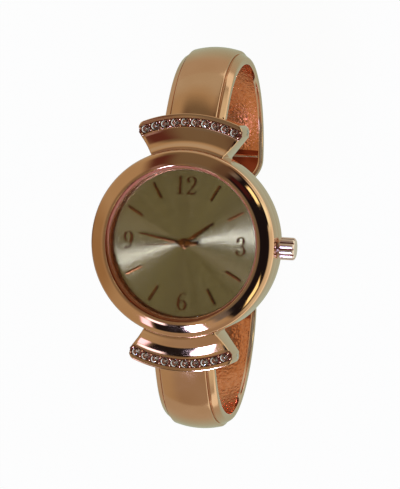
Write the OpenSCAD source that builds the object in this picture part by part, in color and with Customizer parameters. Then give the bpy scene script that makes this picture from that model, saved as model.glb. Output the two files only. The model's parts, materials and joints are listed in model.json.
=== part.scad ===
// A lady's bangle watch: a round case between two fan-shaped lugs set with stones,
// and two sprung half-bangles that swing on pins inside the lugs.
// The origin is the centre of the case back's outer face. +Z goes up through the dial,
// +Y to 12 o'clock and +X to 3 o'clock and the crown. Sizes are in millimetres.

/* [Case] */
// Outer diameter of the bezel
bezel_d = 33; // [32.6:0.1:35]
// Outer diameter of the middle case under the bezel
middle_d = 32.2; // [31.6:0.1:32.4]
// Radius of the bezel's rounded crest
crest_r = 1.55; // [1.4:0.05:1.6]
// Height of the bezel from its seat on the case to the centre of its crest
bezel_wall = 2.3; // [2.1:0.1:2.6]
// Thickness of the case back
back_t = 0.8; // [0.6:0.1:1.2]
// Diameter of the case back's outer face
back_d = 28.6; // [28.2:0.1:29]
// Diameter of the crystal
glass_d = 26.2; // [26:0.1:26.6]
// Thickness of the crystal
glass_t = 0.9; // [0.7:0.1:1.1]
// Wall of the plastic ring that holds the crystal
glass_seal_t = 0.35; // [0.25:0.05:0.45]

/* [Dial and hands] */
// Diameter of the dial that shows inside the dial ring
dial_show_d = 25.4; // [24.6:0.1:25.6]
// Thickness of the dial
dial_t = 0.4; // [0.3:0.05:0.5]
// Height of the dial ring, from the dial to the bezel's shelf
dial_ring_h = 1; // [1:0.05:1.3]
// Length of an hour marker
marker_l = 3.1; // [2:0.1:3.6]
// Width of an hour marker
marker_w = 0.5; // [0.3:0.05:0.8]
// Gap between the markers' outer ends and the dial ring
marker_inset = 0.8; // [0.4:0.1:1.5]
// Length of the hour hand from the centre
hour_hand_l = 6.3; // [5:0.1:8]
// Length of the minute hand from the centre
minute_hand_l = 8.2; // [7:0.1:11]
// Length of the seconds hand from the centre
seconds_hand_l = 8.6; // [7:0.1:11]
// Length of the seconds hand's tail
seconds_tail_l = 2.75; // [2:0.1:4]
// Time shown, in minutes after 12
time_shown = 106.7; // [0:0.1:719]

/* [Lugs] */
// Outer radius of the lugs about the middle of the dial
lug_r = 22.5; // [22.4:0.1:22.9]
// Half width of a lug at its outer end
lug_half_w = 9.25; // [9.1:0.05:9.8]
// Half width of a lug where it leaves the bezel
lug_root_half_w = 6.4; // [6:0.1:7]
// Thickness of a lug's side walls
lug_wall = 1.3; // [1.1:0.05:1.5]
// Thickness of a lug's curved end wall
lug_end_wall = 0.5; // [0.4:0.05:0.6]
// Height of a lug's front rim above the case back
lug_front_z = 5.1; // [4.9:0.1:5.4]
// How far the lugs reach below the case back
lug_drop = 1; // [0.8:0.1:1.2]
// Number of stones on each lug
stone_count = 10; // [4:1:10]
// Girdle diameter of a stone
stone_d = 1.34; // [1:0.05:1.5]
// Distance between the stones' centres
stone_pitch = 1.8; // [1.7:0.05:1.9]

/* [Bangle arms] */
// Width of an arm
arm_w = 10.8; // [10:0.1:11.8]
// Thickness of an arm's edge
arm_edge_t = 1.2; // [1:0.1:1.5]
// Height of the domed band above the arm's edge
dome_h = 1.75; // [1.4:0.05:1.9]
// Width of the sloping lip beside the domed band
lip_w = 1; // [0.7:0.05:1.2]
// Height of the lip at the groove above the arm's edge
lip_rise = 0.7; // [0.4:0.05:0.9]
// Width of the groove between the lip and the domed band
groove_w = 0.3; // [0.2:0.05:0.5]
// Width of the smooth rim round the recess inside an arm
rim_w = 0.85; // [0.6:0.05:1.2]
// Height of the bangle across the edges of both arms
bangle_h = 65.8; // [64:0.2:70]
// Depth of the arms' widest place below the case back
bangle_mid_z = 14; // [13.5:0.1:16]
// Distance of each arm's tip from the middle of the gap
tip_y = 9; // [8:0.5:14]
// Opening angle of an arm from rest, in degrees, that the lugs leave room for
arm_swing = 20; // [10:1:20]

/* [Hinges] */
// Diameter of the hinge pins
pin_d = 1; // [0.8:0.05:1.2]
// Distance of the hinge pins from the lugs' outer edge
pin_inset = 2.9; // [2.8:0.1:3.1]
// Height of the hinge pins above the case back
pin_z = 0.4; // [0.3:0.05:0.6]
// Outer diameter of the arms' knuckles
knuckle_d = 2.8; // [2.4:0.1:3]
// Wire diameter of the hinge springs
spring_wire = 0.26; // [0.2:0.02:0.28]
// Number of turns in a hinge spring
spring_turns = 4; // [2:0.5:4]

/* [Crown] */
// Diameter of the crown over its lobes
crown_d = 3.9; // [3.6:0.1:4.4]
// Length of the crown
crown_l = 2.6; // [2.4:0.1:3]
// Gap between the case and the crown pushed in
crown_gap = 0.6; // [0.5:0.05:0.8]
// Number of lobes round the crown
crown_lobes = 10; // [8:1:14]
// Travel of the crown when it is pulled out
crown_pull = 0.8; // [0.5:0.05:0.9]
// Diameter of the crown tube
tube_d = 2; // [1.8:0.1:2.2]
// Diameter of the winding stem
stem_d = 0.9; // [0.8:0.05:1]

/* [Movement] */
// Diameter of the movement
mvt_d = 18.2; // [18:0.1:18.6]
// Width of the movement across its flats
mvt_w = 15.3; // [15.2:0.1:16]
// Thickness of the movement
mvt_t = 3.15; // [3.15:0.05:3.4]
// Air between the case back and the movement
mvt_air = 1.1; // [1:0.1:1.3]
// Diameter of the battery
battery_d = 6.8; // [5.8:0.1:6.8]
// Thickness of the battery
battery_t = 2.6; // [2.1:0.1:2.6]
// Thickness of the wheels
wheel_t = 0.15; // [0.12:0.01:0.16]
// Radial play of the pivots and the hinge pins
play = 0.04; // [0.02:0.01:0.06]

/* [Hidden] */
$fn = 64;
over = 1;
far = 60;

rose_gold = [0.80, 0.56, 0.40];
inner_gold = [0.72, 0.38, 0.24];
glass_tint = [0.85, 0.92, 0.95, 0.35];
champagne = [0.74, 0.71, 0.58];
copper_brown = [0.55, 0.33, 0.22];
steel = [0.72, 0.73, 0.75];
brass_tone = [0.82, 0.68, 0.38];
white_plastic = [0.90, 0.90, 0.86];
black_rubber = [0.12, 0.12, 0.12];
board_green = [0.16, 0.38, 0.24];
copper_wire = [0.75, 0.40, 0.20];

// Heights of the stack, from the case back up
mvt_z = back_t + mvt_air;
mvt_top = mvt_z + mvt_t;
plate_t = 1.1;
plate_z = mvt_top - plate_t;
stack_gap = 0.05;
dial_z = mvt_top + stack_gap;
dial_top = dial_z + dial_t;
shelf_z = dial_top + dial_ring_h;
shelf_t = 0.3;
glass_z = shelf_z + shelf_t;
glass_top = glass_z + glass_t;
seat_drop = 1.9;
seat_z = shelf_z - seat_drop;
crest_z = seat_z + bezel_wall;

// Radii of the case, from the crystal out
glass_r = glass_d / 2;
glass_hole_r = glass_r + glass_seal_t;
dial_show_r = dial_show_d / 2;
shelf_r = dial_show_r + 0.25;
bezel_r = bezel_d / 2;
middle_r = middle_d / 2;
bore_r = glass_r + 0.8;
spigot_r = bore_r + 0.4;
spigot_h = 1.2;
crest_centre_r = bezel_r - crest_r;
slope_r = 2.6;
back_r = back_d / 2;
back_face_z = back_t + 0.1;
skirt_t = 0.5;
foot_chamfer = 0.8;

// Winding stem and crown
stem_z = mvt_z + 1.6;
stem_r = stem_d / 2;
tube_r = tube_d / 2;
crown_r = crown_d / 2;
crown_x = middle_r + crown_gap;
crown_end = crown_x + crown_l;
crown_cap_t = 0.75;
crown_seal_r = 0.2;
crown_bore_r = tube_r + 2 * crown_seal_r + 0.04;
tube_end = crown_end - crown_cap_t - 0.25;
tube_start = bore_r - 0.2;
stem_start = 3.3;
square_start = 4;
square_end = 6.1;
square_w = 0.5;
groove_x = 6.85;
groove_half = 0.25;
groove_core_r = 0.27;

// Setting parts under the main plate
lever_z = mvt_z + 0.6;
lever_t = 0.3;
lever_arm = 2.05;
lever_pin_r = 0.15;
lever_pin_y = groove_core_r + lever_pin_r + 0.07;
lever_pivot = [groove_x + crown_pull / 2, lever_pin_y + lever_arm];
post_r = 0.35;
clutch_x = 4.3;
clutch_l = 1.2;
clutch_r = 0.8;
clutch_groove_r = 0.56;
clutch_groove_half = 0.16;
clutch_mid = clutch_x + clutch_l / 2;
yoke_arm = 2.1;
yoke_finger_w = 0.2;
yoke_tip_y = -clutch_groove_r - play;
yoke_pivot = [clutch_mid, yoke_tip_y - yoke_arm];

// Wheel train: teeth, modules and centres
rotor_teeth = 6;
fifth_teeth = 36;
fifth_leaves = 8;
fourth_teeth = 40;
fourth_leaves = 8;
third_teeth = 60;
third_leaves = 8;
centre_teeth = 64;
cannon_leaves = 10;
minute_teeth = 30;
minute_leaves = 8;
hour_teeth = 32;
setting_teeth = 18;

centre_m = 0.052;
third_reach = (centre_teeth + third_leaves) / 2 * centre_m;
third_m = third_reach / ((third_teeth + fourth_leaves) / 2);
fourth_m = 0.082;
fifth_reach = (fourth_teeth + fifth_leaves) / 2 * fourth_m;
rotor_m = 0.085;
rotor_reach = (fifth_teeth + rotor_teeth) / 2 * rotor_m;
motion_m = 0.085;
minute_reach = (minute_teeth + cannon_leaves) / 2 * motion_m;
setting_reach = (minute_teeth + setting_teeth) / 2 * motion_m;

third_dir = 40;
fifth_dir = -120;
rotor_dir = -100;
minute_dir = -10;
setting_dir = 5;
function polar(r, a) = [r * cos(a), r * sin(a)];
third_c = polar(third_reach, third_dir);
fifth_c = polar(fifth_reach, fifth_dir);
rotor_c = fifth_c + polar(rotor_reach, rotor_dir);
minute_c = polar(minute_reach, minute_dir);
setting_c = minute_c + polar(setting_reach, setting_dir);

// Heights of the wheels above the train bridge
bridge_z = mvt_z + 0.4;
bridge_t = 0.5;
fourth_z = bridge_z + bridge_t + 0.15;
train_z = fourth_z + wheel_t + 0.07;
centre_z = plate_z - wheel_t - 0.22;
stator_t = 0.4;
stator_z = plate_z - stator_t - 0.1;
magnet_r = 0.75;
arbor_r = 0.1;
stud_r = 0.12;
pivot_depth = 0.2;
arbor_low = bridge_z + bridge_t - pivot_depth;
arbor_high = plate_z + pivot_depth;
works_z = plate_z + 0.6;
cannon_z = works_z + stack_gap;
cannon_h = 0.2;
hour_wheel_z = cannon_z + cannon_h + 0.02;
cannon_r = 0.32;
cannon_bore_r = arbor_r + play;
hour_bore_r = cannon_r + play;
hour_tube_r = 0.6;

// Hands above the dial
hour_hand_z = dial_top + 0.25;
hour_hand_t = 0.15;
minute_hand_z = hour_hand_z + 0.4;
minute_hand_t = 0.15;
seconds_hand_z = minute_hand_z + 0.35;
seconds_hand_t = 0.12;
hour_angle = time_shown / 2;
minute_angle = time_shown * 6;
seconds_angle = 265;

// Movement layout
mvt_r = mvt_d / 2;
battery_r = battery_d / 2;
battery_c = polar(mvt_r - battery_r - 0.35, 146.3);
battery_play = 0.1;
bridge_posts = [[3, -2.3], [0.2, 4], [-3.4, -1.7]];
clamp_post = mvt_r * [-0.76, -0.29];
post_wide_r = 0.6;
screw_head_r = 0.45;
screw_head_t = 0.25;
coil_y = 1.35 - mvt_w / 2;
coil_r = 0.85;
coil_half_l = 0.36 * mvt_r;
coil_mid_x = -1;
core_w = 1;
core_t = 0.4;
core_half_l = 0.55 * mvt_r;
coil_z = stator_z - core_t / 2;
dial_foot = mvt_r * [0.84, 0.44];
dial_foot_r = 0.35;
dial_foot_l = 0.9;
chip = [1.8, 1.8, 0.4];
chip_at = [0.6, -6.4];
can_r = 0.75;
can_start_x = mvt_r - 8.2;
can_l = 4.8;
can_y = mvt_w / 2 - 1.75;
can_axis_z = plate_z - 0.85;

// Lug form, turned about the case's axis
lug_cove_r = 2.36;
lug_cove_inset = 3.83;
lug_cove_rise = 2;
lug_cove_c = [lug_r - lug_cove_inset, lug_front_z + lug_cove_rise];
lug_lip_inset = 2.6;
lug_channel_r = lug_r - lug_lip_inset;
channel_half_w = stone_d / 2 + 0.1;
channel_depth = 0.2;
lug_top_rise = 1.5;
lug_top_z = lug_front_z + lug_top_rise;
lug_floor_r = middle_r + lug_wall;
lug_ceiling_z = lug_front_z - 1.3;
lug_elbow_y = 18.9;
lug_root_y = 15.2;
stone_r = stone_d / 2;
stone_ring_r = lug_r - 1.5;
stone_step = stone_pitch / stone_ring_r * 180 / PI;
seat_play = 0.04;
seat_depth = 0.45;

// Arms: three arcs along the edge of the upper arm, in the Y-Z plane
arm_half_w = arm_w / 2;
pin_y = lug_r - pin_inset;
// They meet where the edge slopes 3:4, so the ends of the quarter turn lie exactly on them
side_r = 16;
side_c = [bangle_h / 2 - side_r, -bangle_mid_z];
top_r = 30;
top_slope = [0.6, 0.8];
top_a = atan2(top_slope[1], top_slope[0]);
top_c = side_c + (side_r - top_r) * top_slope;
low_r = 20;
low_slope = [0.8, -0.6];
low_a = atan2(low_slope[1], low_slope[0]);
low_c = side_c + (side_r - low_r) * low_slope;
low_turn = 70;
// The arms stand on a flat ground off the lowest part of their domes
foot_z = low_c[1] - low_r - dome_h + 0.3;
arm_start_a = atan2(pin_z - top_c[1], pin_y + 1.1 - top_c[0]);
recess_start_a = arm_start_a - 8;
dome_half_w = arm_half_w - lip_w - groove_w;
dome_step = 1.15;
groove_depth = 0.25;
dome_shell = 1;
tip_round_y = tip_y + arm_half_w;
rib_y = tip_y + 4.2;
rib_t = 0.6;
rib_drop = 0.25;
pin_r = pin_d / 2;
knuckle_r = knuckle_d / 2;
knuckle_half_l = arm_half_w - 0.15;
slot_gap = 0.25;
slot_half_w = arm_half_w + slot_gap;

// Circle of the domed band's cross section, through its crown and its edges
dome_r = (dome_half_w * dome_half_w + (dome_h - dome_step) * (dome_h - dome_step))
    / (2 * (dome_h - dome_step));
dome_c = dome_h - dome_r;

function turn(p, a) = [p[0] * cos(a) - p[1] * sin(a), p[0] * sin(a) + p[1] * cos(a)];
// Height that the crown of the dome reaches over the lug's outer edge as the arm opens
crest_points = [for (a = [arm_start_a:-1:top_a])
    top_c + (top_r + dome_h) * [cos(a), sin(a)] - [pin_y, pin_z]];
crest_rise = max([for (p = crest_points) for (s = [0:1:arm_swing])
    let (q = turn(p, s)) q[0] + pin_y < lug_r + 0.1 ? q[1] + pin_z : 0]);
slot_top_z = crest_rise + 0.2;

// Hinge springs: an unbroken helix round the pin between the knuckle and the side wall
spring_gap = 0.1;
spring_low_x = knuckle_half_l + spring_gap + spring_wire / 2;
spring_high_x = lug_half_w - lug_wall - spring_gap - spring_wire / 2;
spring_coil_r = pin_r + 0.08 + spring_wire / 2;
spring_pitch = (spring_high_x - spring_low_x) / spring_turns;
spring_steps = 12;
spring_sides = 6;
echo(spring_least_gap = spring_pitch - spring_wire);

// Shared shapes
module ring(r_out, r_in, h) {
    difference() {
        cylinder(r = r_out, h = h);
        translate([0, 0, -over])
            cylinder(r = r_in, h = h + 2 * over);
    }
}

module at_clock(minutes_angle) {
    rotate([0, 0, -minutes_angle])
        children();
}

module along_x(x, y, z, r, l) {
    translate([x, y, z])
        rotate([0, 90, 0])
            cylinder(r = r, h = l);
}

module movement_outline(grow = 0) {
    intersection() {
        circle(r = mvt_r + grow);
        square([2 * mvt_d, mvt_w + 2 * grow], center = true);
    }
}

// A wheel or pinion whose first tooth points to the angle phase
module gear(teeth, m, t, phase, bore = 0) {
    pitch = 360 / teeth;
    tip = (teeth / 2 + 0.8) * m;
    root = (teeth / 2 - 1) * m;
    outline = [for (i = [0:teeth - 1]) for (k = [[root, -0.3], [tip, -0.14], [tip, 0.14], [root, 0.3]])
        polar(k[0], phase + (i + k[1]) * pitch)];
    linear_extrude(t)
        difference() {
            polygon(outline);
            if (bore > 0)
                circle(r = bore);
        }
}

// Phase of a wheel whose gap, not its tooth, faces its partner
function gap_phase(a, teeth) = a + 180 + 180 / teeth;

module arbor(c, z0, z1) {
    translate([c[0], c[1], z0])
        cylinder(r = arbor_r, h = z1 - z0);
}

// Case
module bezel_outer() {
    corner = 0.6;
    rotate_extrude()
        union() {
            translate([crest_centre_r, crest_z])
                circle(r = crest_r);
            translate([crest_centre_r, seat_z + corner])
                square([crest_r, bezel_wall - corner]);
            translate([crest_centre_r - over, seat_z])
                square([crest_r - corner + over, bezel_wall]);
            intersection() {
                translate([crest_centre_r, crest_z + crest_r - slope_r])
                    circle(r = slope_r);
                translate([glass_hole_r - over, seat_z])
                    square([crest_centre_r - glass_hole_r + over, far]);
            }
            translate([bezel_r - corner, seat_z + corner])
                circle(r = corner);
            translate([glass_hole_r - over, seat_z])
                square([over + 0.4, shelf_z + shelf_t + glass_t * 0.8 - seat_z]);
        }
}

module bezel() {
    color(rose_gold)
        difference() {
            bezel_outer();
            translate([0, 0, glass_z])
                cylinder(r = glass_hole_r, h = far);
            translate([0, 0, seat_z - over])
                cylinder(r = shelf_r, h = far);
            translate([0, 0, seat_z - over])
                cylinder(r = bore_r, h = shelf_z - seat_z + over);
            translate([0, 0, seat_z - over])
                cylinder(r = spigot_r, h = spigot_h + over);
        }
}

module case_middle() {
    foot_z = back_face_z;
    color(rose_gold)
        difference() {
            rotate_extrude()
                polygon([
                    [bore_r, foot_z], [middle_r - foot_chamfer, foot_z],
                    [middle_r, foot_z + foot_chamfer], [middle_r, seat_z],
                    [spigot_r, seat_z], [spigot_r, seat_z + spigot_h - stack_gap],
                    [bore_r, seat_z + spigot_h - stack_gap]
                ]);
            along_x(0, 0, stem_z, tube_r, middle_r + over);
        }
}

module crystal() {
    bevel = 0.2;
    color(glass_tint)
        translate([0, 0, glass_z])
            rotate_extrude()
                polygon([
                    [0, 0], [glass_r, 0], [glass_r, glass_t - bevel],
                    [glass_r - bevel, glass_t], [0, glass_t]
                ]);
}

module crystal_gasket() {
    color(white_plastic)
        translate([0, 0, glass_z])
            ring(glass_hole_r, glass_r, glass_t * 0.75);
}

module dial_ring() {
    top_r_in = shelf_r;
    color(rose_gold)
        translate([0, 0, dial_top])
            rotate_extrude()
                polygon([
                    [dial_show_r, 0], [bore_r - 0.1, 0], [bore_r - 0.1, dial_ring_h],
                    [top_r_in, dial_ring_h]
                ]);
}

module dial() {
    color(champagne)
        difference() {
            union() {
                translate([0, 0, dial_z])
                    cylinder(r = bore_r - 0.3, h = dial_t);
                for (s = [1, -1])
                    translate([s * dial_foot[0], s * dial_foot[1], dial_z - dial_foot_l])
                        cylinder(r = dial_foot_r, h = dial_foot_l + dial_t / 2);
            }
            translate([0, 0, dial_z - over])
                cylinder(r = hour_tube_r + 0.15, h = dial_t + 2 * over);
        }
}

module hour_markers() {
    roof = 0.18;
    side = 0.1;
    outer = dial_show_r - marker_inset;
    color(copper_brown)
        for (hour = [1, 2, 4, 5, 7, 8, 10, 11])
            at_clock(hour * 30)
                translate([0, outer, dial_top])
                    rotate([90, 0, 0])
                        linear_extrude(marker_l)
                            polygon([
                                [-marker_w / 2, 0], [marker_w / 2, 0], [marker_w / 2, side],
                                [0, roof], [-marker_w / 2, side]
                            ]);
}

module case_back() {
    notch_w = 1.6;
    color(steel)
        difference() {
            union() {
                rotate_extrude()
                    polygon([
                        [0, 0], [back_r - 0.6, 0], [back_r, 0.4], [back_r, back_t], [0, back_t]
                    ]);
                translate([0, 0, back_t])
                    ring(bore_r - play, bore_r - play - skirt_t, mvt_air);
            }
            at_clock(210)
                translate([-notch_w / 2, back_r - 0.35, 0.35])
                    cube([notch_w, over, back_t]);
        }
}

module back_gasket() {
    color(black_rubber)
        translate([0, 0, back_t])
            ring(back_r - 0.05, bore_r + 0.02, back_face_z - back_t);
}

// Lugs: the upper one, and the lower one as its mirror image
module fan(inset) {
    linear_extrude(far, center = true)
        polygon([
            [-lug_root_half_w + inset, lug_root_y - over - inset],
            [lug_root_half_w - inset, lug_root_y - over - inset],
            [lug_root_half_w - inset, lug_root_y],
            [lug_half_w - inset, lug_elbow_y],
            [lug_half_w - inset, lug_r + over],
            [-lug_half_w + inset, lug_r + over],
            [-lug_half_w + inset, lug_elbow_y],
            [-lug_root_half_w + inset, lug_root_y]
        ]);
}

module lug_solid() {
    edge = 0.35;
    rise = 0.9;
    rotate([0, 0, 45])
        rotate_extrude(angle = 90)
            difference() {
                polygon([
                    [middle_r, rise], [lug_floor_r, 0], [lug_floor_r + rise, -lug_drop],
                    [lug_r - edge, -lug_drop], [lug_r, -lug_drop + edge],
                    [lug_r, lug_front_z - edge], [lug_r - edge, lug_front_z],
                    [lug_channel_r, lug_front_z], [middle_r, lug_top_z]
                ]);
                translate(lug_cove_c)
                    circle(r = lug_cove_r);
                translate([stone_ring_r - channel_half_w, lug_front_z - channel_depth])
                    square([2 * channel_half_w, over]);
            }
}

module lug_hollow() {
    rotate([0, 0, 45])
        rotate_extrude(angle = 90)
            translate([lug_floor_r, -far])
                square([lug_r - lug_end_wall - lug_floor_r, far + lug_ceiling_z]);
}

module arm_slot() {
    arch_r = dome_r + slot_gap;
    intersection() {
        translate([-slot_half_w, lug_floor_r + over, -far])
            cube([2 * slot_half_w, lug_r, far + slot_top_z]);
        translate([0, 2 * lug_r, slot_top_z - arch_r])
            rotate([90, 0, 0])
                cylinder(r = arch_r, h = 2 * lug_r);
    }
}

module stone_places() {
    for (i = [0:stone_count - 1])
        rotate([0, 0, (i - (stone_count - 1) / 2) * stone_step])
            translate([0, stone_ring_r, lug_front_z])
                children();
}

module lug() {
    color(rose_gold)
        difference() {
            intersection() {
                lug_solid();
                fan(0);
            }
            intersection() {
                lug_hollow();
                fan(lug_wall);
            }
            arm_slot();
            bezel_outer();
            stone_places()
                translate([0, 0, -seat_depth])
                    cylinder(r = stone_r + seat_play, h = seat_depth + over, $fn = 24);
            along_x(-far / 2, pin_y, pin_z, pin_r, far);
        }
}

// A brilliant: table, crown, girdle and pavilion
module stones() {
    table_r = 0.58 * stone_r;
    crown_h = 0.24 * stone_r;
    girdle_h = 0.06;
    rise = 0.12;
    color([0.85, 0.90, 0.88])
        stone_places()
            translate([0, 0, rise])
                rotate_extrude($fn = 24)
                    polygon([
                        [0, -seat_depth - rise + 0.02], [0.12, -seat_depth - rise + 0.02],
                        [stone_r, -girdle_h], [stone_r, 0], [table_r, crown_h], [0, crown_h]
                    ]);
}

// Arms
module arm_section() {
    lip_x = dome_half_w + groove_w;
    difference() {
        union() {
            polygon([
                [-arm_edge_t, -arm_half_w], [0, -arm_half_w], [lip_rise, -lip_x],
                [lip_rise, lip_x], [0, arm_half_w], [-arm_edge_t, arm_half_w]
            ]);
            intersection() {
                translate([dome_c, 0])
                    circle(r = dome_r);
                translate([-arm_edge_t / 2, -dome_half_w])
                    square([arm_edge_t / 2 + dome_h, 2 * dome_half_w]);
            }
        }
        for (s = [1, -1])
            translate([lip_rise - groove_depth, s * (dome_half_w + groove_w / 2) - groove_w / 2])
                square([groove_depth + over, groove_w]);
    }
}

module recess_section() {
    half = arm_half_w - rim_w;
    intersection() {
        translate([dome_c - dome_shell, 0])
            circle(r = dome_r);
        translate([-arm_edge_t - over, -half])
            square([arm_edge_t + over + dome_h, 2 * half]);
    }
}

// Turns a section about the centre c, from where the edge has the slope u
module sweep_arc(c, r, u, angle, down = 0) {
    translate([0, c[0], c[1]])
        rotate([90, 0, 90])
            rotate([0, 0, atan2(u[1], u[0])])
                mirror([0, down, 0])
                    rotate_extrude(angle = angle)
                        translate([r, 0])
                            children();
}

module sweep_arm(start_a) {
    sweep_arc(top_c, top_r, top_slope, start_a - top_a)
        children();
    sweep_arc(side_c, side_r, low_slope, 90)
        children();
    sweep_arc(low_c, low_r, low_slope, low_turn, 1)
        children();
}

// What lies past the rounded tip, seen from the back
module past_tip(r) {
    difference() {
        translate([-far / 2, -far, -far])
            cube([far, far + tip_round_y, far - side_r - bangle_mid_z / 2]);
        translate([0, tip_round_y, -far - over])
            cylinder(r = r, h = far);
    }
}

// Web between the knuckle and the start of the arm
module arm_root() {
    start = arm_start_a - 1;
    rotate([90, 0, 90])
        linear_extrude(2 * knuckle_half_l, center = true)
            polygon([
                [pin_y, pin_z], [pin_y + knuckle_r * 0.8, pin_z - knuckle_r * 0.3],
                top_c + (top_r - arm_edge_t) * [cos(start), sin(start)],
                top_c + (top_r + lip_rise / 2) * [cos(start), sin(start)],
                [pin_y, pin_z + knuckle_r]
            ]);
}

module arm_rib() {
    translate([-far / 2, rib_y, -far])
        cube([far, rib_t, far - bangle_mid_z]);
}

module arm() {
    color(inner_gold)
        difference() {
            union() {
                sweep_arm(arm_start_a)
                    arm_section();
                along_x(-knuckle_half_l, pin_y, pin_z, knuckle_r, 2 * knuckle_half_l);
                arm_root();
            }
            difference() {
                union() {
                    sweep_arm(recess_start_a)
                        recess_section();
                }
                past_tip(arm_half_w - rim_w);
                arm_rib();
            }
            past_tip(arm_half_w);
            translate([-far / 2, 0, foot_z - far])
                cube(far);
            along_x(-far / 2, pin_y, pin_z, pin_r + play, far);
        }
}

module hinge_pin() {
    color(steel)
        along_x(-lug_half_w, pin_y, pin_z, pin_r, 2 * lug_half_w);
}

// One leg of the spring stands up to the lug's ceiling and the other ends beside the arm
module hinge_spring() {
    turns = round(spring_turns * spring_steps);
    lead = spring_pitch / 360;
    fixed_leg = lug_ceiling_z - pin_z - 0.1;
    free_leg = 1;
    points = [for (i = [-1:turns + 1])
        let (a = min(max(i, 0), turns) * 360 / spring_steps, out = [0, cos(a), sin(a)],
             fore = [lead * 180 / PI, -spring_coil_r * sin(a), spring_coil_r * cos(a)],
             along = fore / norm(fore), side = cross(along, out),
             leg = i < 0 ? -free_leg : i > turns ? fixed_leg : 0)
        for (k = [0:spring_sides - 1])
            [spring_low_x + lead * a, pin_y, pin_z] + out * spring_coil_r + [0, -sin(a), cos(a)] * leg
            + spring_wire / 2 * (out * cos(k * 360 / spring_sides) + side * sin(k * 360 / spring_sides))];
    last = (turns + 2) * spring_sides;
    sides = [for (i = [0:turns + 1]) for (k = [0:spring_sides - 1])
        let (a = i * spring_sides + k, b = i * spring_sides + (k + 1) % spring_sides)
        each [[a, b, b + spring_sides], [a, b + spring_sides, a + spring_sides]]];
    ends = [
        [for (k = [spring_sides - 1:-1:0]) k],
        [for (k = [0:spring_sides - 1]) last + k]
    ];
    polyhedron(points = points, faces = concat(sides, ends));
}

module hinge_springs() {
    color(steel) {
        hinge_spring();
        mirror([1, 0, 0])
            hinge_spring();
    }
}

// Crown and stem
module crown() {
    rim = 0.5;
    flute_r = 0.42;
    color(rose_gold)
        difference() {
            translate([crown_x, 0, stem_z])
                rotate([0, 90, 0])
                    difference() {
                        rotate_extrude()
                            difference() {
                                union() {
                                    square([crown_r, crown_l - rim]);
                                    square([crown_r - rim, crown_l]);
                                    translate([crown_r - rim, crown_l - rim])
                                        circle(r = rim);
                                }
                                translate([-far, -far])
                                    square(far);
                                translate([-far, 0])
                                    square([far, far]);
                            }
                        for (i = [0:crown_lobes - 1])
                            rotate([0, 0, (i + 0.5) * 360 / crown_lobes])
                                translate([crown_r + flute_r * 0.45, 0, -over])
                                    cylinder(r = flute_r, h = crown_l - rim + over);
                    }
            along_x(crown_x - over, 0, stem_z, crown_bore_r, tube_end + 0.2 - crown_x + over);
            along_x(crown_x, 0, stem_z, stem_r, crown_l - 0.35);
        }
}

module crown_seal() {
    color(black_rubber)
        translate([crown_x + 0.35, 0, stem_z])
            rotate([0, 90, 0])
                rotate_extrude()
                    translate([tube_r + 0.02 + crown_seal_r, 0])
                        circle(r = crown_seal_r, $fn = 24);
}

module crown_tube() {
    color(steel)
        difference() {
            along_x(tube_start, 0, stem_z, tube_r, tube_end - tube_start);
            along_x(0, 0, stem_z, stem_r + play, far);
        }
}

module winding_stem() {
    color(steel)
        difference() {
            union() {
                along_x(stem_start, 0, stem_z, square_w / 2, square_start - stem_start);
                translate([square_start, -square_w / 2, stem_z - square_w / 2])
                    cube([square_end - square_start, square_w, square_w]);
                along_x(square_end, 0, stem_z, stem_r, crown_x + crown_l - 0.35 - square_end);
            }
            translate([groove_x - groove_half, 0, stem_z])
                rotate([0, 90, 0])
                    ring(crown_r, groove_core_r, 2 * groove_half);
        }
}

module clutch_wheel() {
    color(steel)
        difference() {
            along_x(clutch_x, 0, stem_z, clutch_r, clutch_l);
            translate([clutch_mid - clutch_groove_half, 0, stem_z])
                rotate([0, 90, 0])
                    ring(crown_r, clutch_groove_r, 2 * clutch_groove_half);
            translate([clutch_x - over, -square_w / 2 - play, stem_z - square_w / 2 - play])
                cube([clutch_l + 2 * over, square_w + 2 * play, square_w + 2 * play]);
            for (i = [0:7])
                translate([clutch_x - over, 0, stem_z])
                    rotate([i * 45, 0, 0])
                        translate([0, 0.45, -0.08])
                            cube([over + 0.15, over, 0.16]);
        }
}

module link_bar(p, q, r, t) {
    d = q - p;
    linear_extrude(t) {
        translate(p)
            circle(r = r);
        translate(p)
            rotate([0, 0, atan2(d[1], d[0])])
                translate([0, -r * 0.7])
                    square([norm(d), 1.4 * r]);
    }
}

module setting_lever() {
    pin_c = [groove_x, lever_pin_y];
    color(steel)
        difference() {
            union() {
                translate([0, 0, lever_z])
                    link_bar(lever_pivot, pin_c - [0, 0.2], 0.7, lever_t);
                translate([pin_c[0], pin_c[1], lever_z + lever_t / 2])
                    cylinder(r = lever_pin_r, h = stem_z - lever_z);
            }
            translate([lever_pivot[0], lever_pivot[1], lever_z - over])
                cylinder(r = post_r + play, h = 3 * over);
        }
}

module yoke() {
    tip = [clutch_mid, yoke_tip_y];
    color(steel)
        difference() {
            union() {
                translate([0, 0, lever_z])
                    link_bar(yoke_pivot, tip - [0, 0.35], 0.65, lever_t);
                translate([tip[0] - yoke_finger_w / 2, tip[1] - yoke_finger_w, lever_z])
                    cube([yoke_finger_w, yoke_finger_w, stem_z + 0.15 - lever_z]);
            }
            translate([yoke_pivot[0], yoke_pivot[1], lever_z - over])
                cylinder(r = post_r + play, h = 3 * over);
        }
}

// Movement
module movement_ring() {
    color(white_plastic)
        difference() {
            translate([0, 0, mvt_z])
                linear_extrude(mvt_t)
                    difference() {
                        circle(r = bore_r - 0.1);
                        movement_outline(stack_gap);
                    }
            along_x(0, 0, stem_z, tube_r + 0.1, far);
        }
}

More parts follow.
